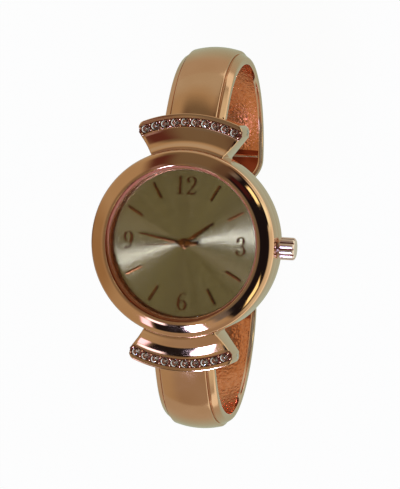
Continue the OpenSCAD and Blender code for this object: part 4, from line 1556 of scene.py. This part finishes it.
    def body(self) -> bpy.types.Object:
        """The lug with its hollow, its slot and the seats of the stones.

        Returns:
            The finished piece.
        """
        lug = shaped_tube("upper_lug_polished", self.rings())
        below = -10.0
        worked(lug, self.fan_prism(self.wall, self.floor_r, self.outer_r - self.end_wall, below,
                                   self.ceiling_z, "hollow_tool"))
        worked(lug, self.slot_tool())
        seats = []
        low, high = self.front_z - self.seat_depth, self.seat_top_z
        wide = self.stone_r + self.seat_play
        for spot in self.stone_spots(0):
            seat = lathed("seat_tool", [(0, low), (wide, low), (wide, high), (0, high)], 32)
            seat.data.transform(spot)
            seats.append(seat)
        worked(lug, one_piece(seats, "seat_tools"))
        half = self.pin_half
        pin_hole = lathed("pin_hole", [(0, -half), (self.pin_r, -half), (self.pin_r, half),
                                       (0, half)], 32)
        pin_hole.data.transform(along_x(self.pin_y, self.pin_z))
        worked(lug, pin_hole)
        smooth(lug, 28)
        return lug

    def stone(self) -> bpy.types.Object:
        """One round brilliant at the origin, its girdle at height 0.

        Each level has a number of corners, its radius and height in stone radii, and its turn as
        a share of the step between corners.

        Returns:
            The stone.
        """
        r = self.stone_r
        deselect_all()
        bpy.ops.mesh.primitive_cone_add(vertices=8, radius1=r * MM, radius2=0, depth=r * MM)
        stone = named("cut_stone")
        levels = [(8, 0.56, 0.27, 0.5), (8, 0.8, 0.17, 0.0), (16, 1.0, 0.03, 0.0),
                  (16, 1.0, -0.03, 0.0), (8, 0.52, -0.3, 0.5), (1, 0.0, -0.56, 0.0)]
        mesh = bmesh.new()
        for count, wide, height, shift in levels:
            for k in range(count):
                a = math.tau * (k + shift) / count
                corner = (r * wide * math.cos(a), r * wide * math.sin(a), r * height)
                mesh.verts.new(Vector(corner) * MM)
        mesh.to_mesh(stone.data)
        mesh.free()
        choose(stone)
        bpy.ops.object.mode_set(mode="EDIT")
        bpy.ops.mesh.select_all(action="SELECT")
        bpy.ops.mesh.convex_hull()
        bpy.ops.object.mode_set(mode="OBJECT")
        return stone

    def stones(self) -> bpy.types.Object:
        """The lug's row of stones, each turned a little from the one before.

        Returns:
            The finished piece.
        """
        first = self.stone()
        lift, turn = Matrix.Translation((0, 0, self.stone_lift * MM)), 0.37
        row = [placed_copy(first, f"stone_{k}", spot @ lift @ Matrix.Rotation(turn * k, 4, "Z"))
               for k, spot in enumerate(self.stone_spots(self.front_z))]
        bpy.data.objects.remove(first, do_unlink=True)
        return one_piece(row, "upper_stones_cut")

    def beads(self) -> bpy.types.Object:
        """The small beads raised beside each pair of stones to hold them.

        Returns:
            The finished piece.
        """
        deselect_all()
        bpy.ops.mesh.primitive_uv_sphere_add(segments=12, ring_count=8, radius=self.bead_r * MM)
        first = named("bead")
        smooth(first, 180)
        row = []
        for k in range(self.stone_count + 1):
            angle = math.radians((k - self.stone_count / 2) * self.stone_step)
            turn = Matrix.Rotation(angle, 4, "Z")
            for side in (-self.bead_off, self.bead_off):
                spot = Vector((0, self.stone_ring_r + side, self.front_z + self.bead_lift)) * MM
                row.append(placed_copy(first, f"bead_{k}", turn @ Matrix.Translation(spot)))
        bpy.data.objects.remove(first, do_unlink=True)
        return one_piece(row, "upper_beads")

    def build(self, finishes: Finishes) -> None:
        """Makes, dresses and fixes both lugs with their stones and beads.

        Args:
            finishes: The watch's finishes.
        """
        lug = self.body()
        # The stone channel takes the dark painted shade.
        coat(lug, finishes.rose_gold, finishes.seat)
        low, high = self.front_z - 0.6, self.front_z - 0.03
        for face in lug.data.polygons:
            spot = face.center / MM
            off = abs(math.hypot(spot.x, spot.y) - self.stone_ring_r)
            face.material_index = int(off < self.channel_half_w + 0.05 and low < spot.z < high)
        makes = [(lug, "lug_polished", "rose_gold", None, "lug"),
                 (self.stones(), "stones_cut", "stone", finishes.stone, "stones"),
                 # The beads take the lighter gold of painted highlight.
                 (self.beads(), "beads", "rose_gold", finishes.rim_gold, "")]
        for piece, name, slot, material, node in makes:
            twin = mirrored_y(piece, f"lower_{name}")
            for end, made in ((End.UPPER, piece), (End.LOWER, twin)):
                nodes = [f"{end.word}_{node}"] if node else []
                fitted(made, "case", slot, material, *nodes)


# Half-bangles

@dataclass(frozen=True)
class Arc:
    """An arc of the arm's edge line in the Y-Z plane, from start to end in degrees."""

    centre: Flat
    radius: float
    start: float
    end: float

    def at(self, angle: float, out: float) -> Flat:
        """Y and Z at an angle in degrees, out millimetres outside the edge line.

        Args:
            angle: The angle.
            out: Distance outside the line.

        Returns:
            The point.
        """
        a = math.radians(angle)
        return (self.centre[0] + (self.radius + out) * math.cos(a),
                self.centre[1] + (self.radius + out) * math.sin(a))


@dataclass(frozen=True)
class HalfBangle:
    """The upper half-bangle, in millimetres: domed outside, hollow inside, rounded at its tip."""

    half_w: float = 5.4
    edge_t: float = 1.2
    lip_w: float = 1.0
    lip_rise: float = 0.7
    groove_w: float = 0.3
    groove_floor: float = 0.45
    dome_edge: float = 1.15
    dome_h: float = 1.75
    shell: float = 1.0
    rim_w: float = 0.85
    soft: float = 0.12
    tip_c: float = 14.4
    rib_y: float = 14.85
    rib_t: float = 0.6
    rib_low: float = 0.12
    rib_sunk: float = 0.9
    foot_z: float = -33.05
    pin_y: float = 19.6
    pin_z: float = 0.4
    knuckle_r: float = 1.4
    knuckle_bore: float = 0.54
    knuckle_gap: float = 0.15
    recess_start: float = 56.5
    tip_rings: int = 26
    top: Arc = Arc((8.5, -25.2), 30, 64.5, 53.1301)
    side: Arc = Arc((16.9, -14.0), 16, 53.1301, -36.8699)
    low: Arc = Arc((13.7, -11.6), 20, -36.8699, -87.99)

    def dome(self, x: float) -> float:
        """Height of the domed band above the edge line, x from its middle.

        Args:
            x: Distance from the middle.

        Returns:
            The height.
        """
        half = self.half_w - self.lip_w - self.groove_w
        rise = self.dome_h - self.dome_edge
        radius = (half * half + rise * rise) / (2 * rise)
        return self.dome_h - radius + math.sqrt(radius * radius - x * x)

    def outside(self) -> list[Flat]:
        """The outer surface's points: distance from the border and height, from the border in.

        Returns:
            The points.
        """
        g = self.lip_w
        slope = self.lip_rise / self.lip_w
        points = [(0.0, -0.12), (0.025, -0.04), (0.09, 0.03), (0.16, 0.16 * slope)]
        points += [(k / 6 * g, k / 6 * g * slope) for k in range(2, 6)]
        points += [(g - 0.06, (g - 0.06) * slope), (g - 0.015, self.lip_rise - 0.03),
                   (g + 0.01, self.lip_rise - 0.1), (g + 0.03, self.groove_floor + 0.03),
                   (g + 0.1, self.groove_floor), (g + 0.2, self.groove_floor),
                   (g + 0.27, self.groove_floor + 0.03)]
        wall = g + self.groove_w
        half = self.half_w - wall
        edge = self.dome(half)
        points += [(wall - 0.01, edge - 0.14), (wall + 0.03, edge - 0.035),
                   (wall + 0.1, self.dome(half - 0.1))]
        points += [(wall + half * k / 16, self.dome(half - half * k / 16)) for k in range(1, 17)]
        return points

    def inside(self, open_share: float) -> list[Flat]:
        """The same for the inner surface, from the middle out.

        Args:
            open_share: How deep the recess is, from 0 for shut to 1.

        Returns:
            Distance from the border and height of each point.
        """
        rim, s = self.rim_w, self.soft
        half = self.half_w - rim

        def floor(x: float) -> float:
            """Height of the recess's floor, x from its middle."""
            deep = self.dome(min(x, self.half_w - self.lip_w - self.groove_w)) - self.shell
            return -self.edge_t + (deep + self.edge_t) * open_share

        points = [(self.half_w - half * k / 12, floor(half * k / 12)) for k in range(11)]
        points += [(rim + 0.45, floor(half - 0.45)),
                   (rim + 0.2, floor(half - 0.2) - 0.03 * open_share),
                   (rim + 0.07, floor(half) - 0.2 * open_share)]
        low = -self.edge_t
        points += [(rim + 0.03, low + 0.4 * open_share), (rim, low + s * open_share),
                   (rim - 0.35 * s, low + 0.3 * s * open_share), (rim - s, low)]
        points += [(rim * 0.5, low), (s, low), (0.3 * s, low + 0.3 * s), (0.0, low + s)]
        return points

    def stations(self) -> list[tuple[Arc, float, float]]:
        """Arc, angle and openness of the recess at each ring before the tip.

        Returns:
            The rings in their order from the root.
        """
        stops: list[tuple[Arc, float, float]] = []
        for part, count in ((self.top, 8), (self.side, 46), (self.low, 24)):
            for k in range(count):
                stops.append((part, part.start + (part.end - part.start) * k / count, 1.0))
        start, slope, clear = self.recess_start, 0.15, 0.3
        shut = [(part, angle, 0.0) for part, angle, _ in stops if angle > start + clear]
        near = [(self.top, start + slope, 0.0), (self.top, start - slope, 1.0)]
        return shut + near + [stop for stop in stops if stop[1] < start - clear]

    def low_angle(self, y: float) -> float:
        """The angle in degrees at which the lower arc's edge line reaches y."""
        return -math.degrees(math.acos((y - self.low.centre[0]) / self.low.radius))

    def rings(self) -> list[Ring]:
        """Loops across the arm, from its root round to its tip.

        Returns:
            The loops.
        """
        rings: list[Ring] = []
        outer = self.outside()

        def loop(spot: Callable[[int, float, float], Place], open_share: float) -> Ring:
            """One loop: out over the outer surface and back along the inner one.

            Args:
                spot: Places a point by its side, distance from the border and height.
                open_share: How deep the recess is there.

            Returns:
                The loop.
            """
            inner = self.inside(open_share)
            ring = [spot(-1, d, n) for d, n in outer]
            ring += [spot(1, d, n) for d, n in outer[-2::-1]]
            ring += [spot(1, d, n) for d, n in inner[::-1]]
            ring += [spot(-1, d, n) for d, n in inner[1:]]
            return ring

        def held(point: Place) -> Place:
            """Keeps a point above the flat that the arm stands on."""
            return (point[0], point[1], max(point[2], self.foot_z))

        for part, angle, share in self.stations():
            def across(side: int, d: float, n: float, part: Arc = part,
                       angle: float = angle) -> Place:
                """A point of a straight ring."""
                return held((side * (self.half_w - d), *part.at(angle, n)))
            rings.append(loop(across, share))
        for k in range(self.tip_rings + 1):
            fan = math.pi / 2 * (1 - k / self.tip_rings)

            def fanned(side: int, d: float, n: float, fan: float = fan) -> Place:
                """A point of a ring folded back about the tip's centre."""
                reach = self.half_w - d
                angle = self.low_angle(self.tip_c - reach * math.cos(fan))
                return held((side * reach * math.sin(fan), *self.low.at(angle, n)))
            rings.append(loop(fanned, 1.0))
        return rings

    def zone(self, ring: int, point: int) -> int:
        """The material slot of the face after a point of a ring.

        Args:
            ring: The ring's number.
            point: The point's number in it.

        Returns:
            The slot.
        """
        outer, inner = len(self.outside()), len(self.inside(1))
        point -= 2 * outer - 1
        if point < 0:
            return ArmZone.OUTSIDE.value
        # Rim faces take the lighter gold of painted highlight, the tip's bowl the dark red painted
        # shade.
        span, rim_faces, bowl_rings = 2 * inner - 1, 5, 2
        if min(point, span - 1 - point) < rim_faces:
            return ArmZone.RIM.value
        straight = ring < len(self.stations()) - bowl_rings
        return ArmZone.RECESS.value if straight else ArmZone.BOWL.value

    def body(self) -> bpy.types.Object:
        """The arm itself.

        Returns:
            The finished piece.
        """
        arm = shaped_tube("upper_arm_shell", self.rings(), self.zone)
        smooth(arm, 40)
        return arm

    def rib(self) -> bpy.types.Object:
        """The cross rib in the recess near the tip.

        Returns:
            The finished piece.
        """
        half = self.half_w - self.rim_w + 0.02
        angle = self.low_angle(self.rib_y)
        reach = math.sqrt(half ** 2 - max(self.tip_c - self.rib_y, 0) ** 2)
        top = self.low.at(angle, -self.edge_t + self.rib_low)[1]
        bottom = self.low.at(angle, self.rib_sunk)[1]
        deselect_all()
        bpy.ops.mesh.primitive_cube_add(size=1)
        rib = named("upper_arm_rib")
        size = (2 * reach * MM, self.rib_t * MM, (top - bottom) * MM, 1)
        rib.data.transform(Matrix.Diagonal(size))
        rib.data.transform(Matrix.Translation(Vector((0, self.rib_y, (top + bottom) / 2)) * MM))
        softened(rib, 0.15, 30, 3)
        smooth(rib, 40)
        return rib

    def knuckle(self) -> bpy.types.Object:
        """The hinge barrel and the web that carries the arm from it.

        Returns:
            The finished piece.
        """
        half, bore = self.half_w - self.knuckle_gap, self.knuckle_bore
        y, z, r = self.pin_y, self.pin_z, self.knuckle_r
        outline = rounded([(bore, -half, 0), (r, -half, 0.12), (r, half, 0.12), (bore, half, 0)], 3)
        barrel = lathed("upper_arm_knuckle", outline, 64)
        barrel.data.transform(along_x(y, z))
        low = self.top.at(self.top.start - 1, -self.edge_t)
        high = self.top.at(self.top.start - 1, self.lip_rise / 2)
        web = raised("web", [(y + r * 0.55, z - r * 0.4), low, high, (y + r * 0.3, z + r * 0.9)],
                     -half, half)
        upright = Matrix(((0, 0, 1, 0), (1, 0, 0, 0), (0, 1, 0, 0), (0, 0, 0, 1)))
        web.data.transform(upright)
        mend(web)
        smooth(barrel)
        return one_piece([barrel, web], "upper_arm_knuckle")

    def build(self, finishes: Finishes) -> None:
        """Makes, dresses and fixes both half-bangles.

        Args:
            finishes: The watch's finishes.
        """
        # Outside gold, the lighter rim gold as painted highlight, the recess with its painted
        # bounced light and shade, and the dark red painted shade of the tip's bowl.
        coats = [finishes.bangle_gold, finishes.rim_gold, finishes.recess, finishes.bowl]
        makes = [(self.body(), "arm_shell", coats), (self.rib(), "arm_rib", coats[1:2]),
                 (self.knuckle(), "arm_knuckle", coats[:1])]
        for piece, name, materials in makes:
            coat(piece, *materials)
            twin = mirrored_y(piece, f"lower_{name}")
            for end, made in ((End.UPPER, piece), (End.LOWER, twin)):
                nodes = [f"{end.word}_arm"] if name == "arm_shell" else []
                fitted(made, f"{end.word}_arm", "bangle_gold", None, *nodes)


# Crown

@dataclass(frozen=True)
class Crown:
    """The fluted crown at 3 o'clock, in millimetres."""

    start_x: float = 16.7
    end_x: float = 19.3
    radius: float = 1.95
    axis_z: float = 3.5
    lobes: int = 10
    flute: float = 0.24
    around: int = 160
    base_r: float = 1.12
    base_soft: float = 0.16
    soft: float = 0.5

    def wave(self, point: float) -> float:
        """The rise between the flutes at a point of a ring, from 0 to 1."""
        return (1 + math.cos(self.lobes * math.tau * point / self.around)) / 2

    def rings(self) -> list[Ring]:
        """Loops round the crown's axis, from the case outwards.

        Returns:
            The loops.
        """
        length, low = self.end_x - self.start_x, self.radius - self.base_soft
        shape = [(0.0, self.base_r, 0.0), (0.0, low, 0.85)]
        shape += [(0.14 * (1 - math.cos(a)), low + self.base_soft * math.sin(a), 1.0)
                  for a in (0.4, 0.8, 1.2, math.pi / 2)]
        shape += [(0.7, self.radius, 1.0), (1.4, self.radius, 1.0)]
        for k in range(11):
            a = math.pi / 2 * k / 10
            share = 1 - (k / 10) ** 1.5
            shape.append((length - self.soft + self.soft * math.sin(a),
                          self.radius - self.soft + self.soft * math.cos(a), share))
        shape += [(length, 0.9, 0.0), (length, 0.4, 0.0), (length, 0.0, 0.0)]
        rings: list[Ring] = []
        for along, r, share in shape:
            ring: Ring = []
            for k in range(self.around):
                reach = r - self.flute * share * (1 - self.wave(k) ** 0.55)
                a = math.tau * k / self.around
                ring.append((self.start_x + along, reach * math.cos(a),
                             self.axis_z + reach * math.sin(a)))
            rings.append(ring)
        return rings

    def zone(self, ring: int, point: int) -> int:
        """The material slot of the face after a point of a ring: 1, the dark painted shade, in the
        bottom of a flute.
        """
        bottom, last_ring = 0.1, 14
        return int(self.wave(point + 0.5) < bottom and 0 < ring <= last_ring)

    def build(self, finishes: Finishes) -> None:
        """Makes, dresses and fixes the crown, its tube and the hinge pins.

        Args:
            finishes: The watch's finishes.
        """
        crown = shaped_tube("crown_fluted", self.rings(), self.zone)
        smooth(crown, 40)
        # The crown takes the lighter gold of painted highlight, the bottoms of its flutes the dark
        # painted shade.
        coat(crown, finishes.pink, finishes.seat)
        fitted(crown, "stem", "rose_gold", None, "crown")
        for node, name in (("crown_tube", "crown_tube_smooth"),
                           ("upper_hinge_pin", "upper_pin_smooth"),
                           ("lower_hinge_pin", "lower_pin_smooth")):
            fitted(merged_copy(node, name), "case", "steel", finishes.steel, node)


# Studio and camera

def aimed(right: Vector, up: Vector, back: Vector, spot: Vector) -> Matrix:
    """The matrix of a camera or lamp at spot, with its three axes in those directions."""
    return Matrix(((right.x, up.x, back.x, spot.x), (right.y, up.y, back.y, spot.y),
                   (right.z, up.z, back.z, spot.z), (0, 0, 0, 1)))


@dataclass(frozen=True)
class PhotoCamera:
    """The photograph's camera, turned about the watch's middle, in degrees and millimetres."""

    yaw: float = 13.6
    pitch: float = 3.58
    roll: float = 2.54
    distance: float = 400
    target_z: float = -0.5
    slide_x: float = 1.29
    slide_y: float = -0.5
    lens: float = 204.55
    sensor: float = 36

    def build(self) -> None:
        """Adds the camera and makes it the scene's."""
        yaw, pitch, roll = (math.radians(v) for v in (self.yaw, self.pitch, self.roll))
        back = Vector((math.sin(yaw) * math.cos(pitch), math.sin(pitch),
                       math.cos(yaw) * math.cos(pitch)))
        level = Vector((math.cos(yaw), 0, -math.sin(yaw)))
        upright = back.cross(level)
        right = math.cos(roll) * level + math.sin(roll) * upright
        up = math.cos(roll) * upright - math.sin(roll) * level
        spot = (Vector((0, 0, self.target_z)) + back * self.distance + right * self.slide_x
                + up * self.slide_y) * MM
        deselect_all()
        bpy.ops.object.camera_add()
        camera = bpy.context.active_object
        camera.name = "photo_camera"
        camera.data.sensor_fit = "HORIZONTAL"
        camera.data.sensor_width = self.sensor
        camera.data.lens = self.lens
        camera.data.clip_start = 0.01
        camera.matrix_world = aimed(right, up, back, spot)
        bpy.context.scene.camera = camera
        bpy.context.scene.view_settings.view_transform = "Standard"


@dataclass(frozen=True)
class Card:
    """A soft-edged panel of the surround, in degrees about the direction that a flat front mirrors.

    The clock angle runs round that direction from the top, and the lean away from it.
    """

    clock: float
    half_clock: float
    lean: float
    half_lean: float
    colour: tuple[float, float, float]
    soft: float = 3.0
    slant: float = 0.0


def studio_axes() -> tuple[Vector, Vector, Vector]:
    """The direction that a flat front mirrors, and the directions to its right and above it.

    Returns:
        The three directions.
    """
    view = PhotoCamera()
    yaw, pitch = math.radians(view.yaw), math.radians(view.pitch)
    ahead = Vector((-math.sin(yaw) * math.cos(pitch), -math.sin(pitch),
                    math.cos(yaw) * math.cos(pitch)))
    right = Vector((ahead.z, 0, -ahead.x)).normalized()
    return ahead, right, ahead.cross(right)


@dataclass(frozen=True)
class Strip:
    """A strip lamp, placed like a card and as far as distance, with its length along the lean.

    Its colour is the light that it shows in a mirror.
    """

    name: str
    clock: float
    lean: float
    distance: float
    size: Flat
    colour: tuple[float, float, float]

    def build(self) -> None:
        """Adds the lamp, turned to the middle of the watch."""
        ahead, right, upward = studio_axes()
        clock, lean = math.radians(self.clock), math.radians(self.lean)
        aside = math.sin(clock) * right + math.cos(clock) * upward
        back = math.cos(lean) * ahead + math.sin(lean) * aside
        along = math.cos(lean) * aside - math.sin(lean) * ahead
        across = along.cross(back)
        deselect_all()
        bpy.ops.object.light_add(type="AREA")
        lamp = bpy.context.active_object
        lamp.name = self.name
        lamp.data.shape = "RECTANGLE"
        lamp.data.size, lamp.data.size_y = self.size
        peak = max(self.colour)
        lamp.data.energy = peak * math.pi * self.size[0] * self.size[1]
        lamp.data.color = [c / peak for c in self.colour]
        lamp.matrix_world = aimed(across, along, back, back * self.distance)
        lamp.visible_camera = False


@dataclass(frozen=True)
class Studio:
    """A pale floor under a soft surround of warm walls, with bright and dark cards and a lamp.

    The floor looks white, and mirrors in the metal as near, far, bright and dim areas, whose colours
    change over the spans that are given in metres. These glow for mirrors alone as painted
    reflections: the dim area is a painted shade by the watch's 9 o'clock side, the bright one a
    painted glow on its crown side.
    """

    floor_half: float = 0.6
    glow: float = 0.965
    near: Colour = (0.45, 0.53, 0.41, 1)
    far: Colour = (0.5, 0.45, 0.32, 1)
    bright: Colour = (1.0, 1.0, 0.8, 1)
    dim: Colour = (0.24, 0.17, 0.1, 1)
    far_span: Flat = (0.045, 0.09)
    bright_span: Flat = (0.036, 0.05)
    dim_span: Flat = (-0.004, -0.018)
    dim_reach: Flat = (0.02, 0.035)
    paper: tuple[Colour, Colour] = ((0.6, 0.62, 0.54, 1), (0.63, 0.65, 0.57, 1))
    walls: tuple[float, float, float] = (0.47, 0.39, 0.235)
    cards: tuple[Card, ...] = (
        Card(0, 42, 95, 22, (0.52, 0.5, 0.37), 7),
        Card(262, 24, 45, 30, (0.36, 0.26, 0.13), 10),
        Card(262, 20, 92, 20, (0.19, 0.12, 0.08), 12),
        Card(90, 56, 105, 48, (0.76, 0.76, 0.56), 8),
        Card(67, 9, 92, 34, (1.2, 1.35, 0.98), 6),
        Card(0, 24, 34, 30, (0.2, 0.165, 0.1), 6),
        Card(172, 30, 80, 28, (0.38, 0.31, 0.21), 8),
        Card(30, 10, 80, 30, (0.25, 0.19, 0.12), 6),
        Card(80, 82, 5, 9, (0.2, 0.18, 0.13), 4),
        Card(92, 56, 34, 22, (0.012, 0.01, 0.012), 3),
        Card(50, 26, 38, 25, (0.012, 0.01, 0.012), 2),
        Card(43, 10, 28, 8, (0.056, 0.014, 0.014), 4),
        Card(29, 7, 46, 9, (0.21, 0.21, 0.19), 4),
        Card(151, 6, 20, 13, (0.18, 0.18, 0.16), 4),
        Card(190, 13, 30, 20, (0.015, 0.012, 0.012), 3),
        Card(200, 7, 17, 4.5, (2.2, 2.2, 2.9), 1.5),
        Card(260, 80, 0, 12, (0.25, 0.2, 0.12), 5),
        Card(25, 6, 34, 26, (0.14, 0.1, 0.065), 4),
        Card(338, 9, 28, 25, (0.12, 0.04, 0.03), 7),
        Card(337, 4, 9, 6, (0.4, 0.3, 0.3), 2),
        Card(52, 7, 50, 6, (1.7, 1.6, 0.85), 2),
        Card(124, 9, 45, 6, (1.7, 1.6, 0.85), 2, 0.7),
        Card(207.5, 3.5, 36, 13, (1.9, 1.6, 2.3), 1.5),
        Card(172.3, 4.9, 33, 15, (19.0, 22.5, 40.0), 1.5),
    )
    strip: Strip = Strip("strip", 172.3, 38, 0.5, (0.048, 0.14), (19.0, 22.5, 40.0))

    def floor(self) -> None:
        """The pale floor that the watch stands on."""
        deselect_all()
        bpy.ops.mesh.primitive_plane_add(size=2 * self.floor_half, location=(0, 0, CAD_BOX[0][2]))
        floor = named("floor")
        material, tree = new_material("pale floor")
        place = object_place(tree)
        grain = add(tree, "TexNoise", {"Vector": place, "Scale": 60.0, "Detail": 3.0})
        share = remap(tree, grain.outputs[0], 0.3, 0.7, 0.0, 1.0)
        paper = tinted(tree, share, *self.paper)
        matt = add(tree, "BsdfPrincipled", {"Base Color": paper, "Roughness": 0.9})
        out = add(tree, "VectorMath", {0: place}, operation="LENGTH").outputs["Value"]
        axes = add(tree, "SeparateXYZ", {0: place})
        aside = axes.outputs[0]
        outer = remap(tree, out, *self.far_span, 0.0, 1.0, "SMOOTHSTEP")
        mirrored = tinted(tree, outer, self.near, self.far)
        right = remap(tree, aside, *self.bright_span, 0.0, 1.0, "SMOOTHSTEP")
        mirrored = tinted(tree, right, mirrored, self.bright)
        left = remap(tree, aside, *self.dim_span, 0.0, 1.0, "SMOOTHSTEP")
        along = maths(tree, "ABSOLUTE", axes.outputs[1])
        beside = remap(tree, along, *self.dim_reach, 1.0, 0.0, "SMOOTHSTEP")
        mirrored = tinted(tree, maths(tree, "MULTIPLY", left, beside), mirrored, self.dim)
        # Only glossy rays see these colours: painted reflections, with a painted shade and a painted
        # glow among them.
        rays = add(tree, "LightPath").outputs
        colour = tinted(tree, rays["Is Glossy Ray"], (1, 1, 1, 1), mirrored)
        glow = add(tree, "Emission", {"Color": colour, "Strength": 1.0})
        clear = maths(tree, "MAXIMUM", rays["Is Camera Ray"], rays["Is Transmission Ray"])
        seen = maths(tree, "MAXIMUM", clear, rays["Is Glossy Ray"])
        mix = add(tree, "MixShader", {0: maths(tree, "MULTIPLY", seen, self.glow),
                                      1: matt.outputs[0], 2: glow.outputs[0]})
        add(tree, "OutputMaterial", {"Surface": mix.outputs[0]})
        floor.data.materials.append(material)

    @staticmethod
    def card_mask() -> bpy.types.NodeTree:
        """A node group: how much of a card lies in a direction.

        Returns:
            The group.
        """
        tree = bpy.data.node_groups.new("studio card", "ShaderNodeTree")
        labels = ("Clock", "Lean", "Clock Middle", "Clock Half", "Lean Middle", "Lean Half",
                  "Soft", "Slant")
        for label in labels:
            tree.interface.new_socket(label, in_out="INPUT", socket_type="NodeSocketFloat")
        tree.interface.new_socket("Mask", in_out="OUTPUT", socket_type="NodeSocketFloat")
        given = tree.nodes.new("NodeGroupInput").outputs
        lean = maths(tree, "SUBTRACT", given["Lean"], given["Lean Middle"])
        drift = maths(tree, "MULTIPLY", lean, given["Slant"])
        clock = maths(tree, "SUBTRACT", given["Clock"], given["Clock Middle"])
        clock = maths(tree, "SUBTRACT", clock, drift)
        clock = maths(tree, "WRAP", clock, 180.0, -180.0)
        shares = []
        for offset, half in ((clock, given["Clock Half"]), (lean, given["Lean Half"])):
            inside = maths(tree, "SUBTRACT", half, maths(tree, "ABSOLUTE", offset))
            start = maths(tree, "MULTIPLY", given["Soft"], -1.0)
            shares.append(remap(tree, inside, start, given["Soft"], 0.0, 1.0, "SMOOTHSTEP"))
        leave = tree.nodes.new("NodeGroupOutput")
        tree.links.new(maths(tree, "MULTIPLY", *shares), leave.inputs["Mask"])
        return tree

    def surround(self) -> None:
        """The world: white to the camera and through the glass, walls and cards to the rest."""
        world = bpy.data.worlds.new("studio")
        bpy.context.scene.world = world
        world.use_nodes = True
        tree = world.node_tree
        tree.nodes.clear()
        way = add(tree, "TexCoord").outputs["Generated"]
        along, across, upward = (
            add(tree, "VectorMath", {0: way, 1: axis}, operation="DOT_PRODUCT").outputs["Value"]
            for axis in studio_axes())
        lean = maths(tree, "DEGREES", maths(tree, "ARCCOSINE", along))
        clock = maths(tree, "DEGREES", maths(tree, "ARCTAN2", across, upward))
        mask = self.card_mask()
        colour: object = (*self.walls, 1)
        for card in self.cards:
            values = {"Clock": clock, "Lean": lean, "Clock Middle": card.clock,
                      "Clock Half": card.half_clock, "Lean Middle": card.lean,
                      "Lean Half": card.half_lean, "Soft": card.soft, "Slant": card.slant}
            share = effect(tree, mask, values).outputs["Mask"]
            colour = tinted(tree, share, colour, (*card.colour, 1))
        rays = add(tree, "LightPath").outputs
        direct = maths(tree, "MAXIMUM", rays["Is Camera Ray"], rays["Is Transmission Ray"])
        shown = tinted(tree, direct, colour, (1, 1, 1, 1))
        back = add(tree, "Background", {"Color": shown, "Strength": 1.0})
        add(tree, "OutputWorld", {"Surface": back.outputs[0]})

    def build(self) -> None:
        """Sets up the floor, the surround and the lamp."""
        self.floor()
        self.surround()
        self.strip.build()


def main() -> None:
    """Builds the dressed watch, its studio and its camera."""
    logging.basicConfig(level=logging.INFO, format="%(message)s")
    finishes = Finishes()
    finishes.dress_frame()
    PhotoCamera().build()
    for part in (Case(), Dial(), Hands(), Lug(), HalfBangle(), Crown()):
        part.build(finishes)
        LOG.info("built %s", type(part).__name__)
    Studio().build()


if __name__ == "__main__":
    main()
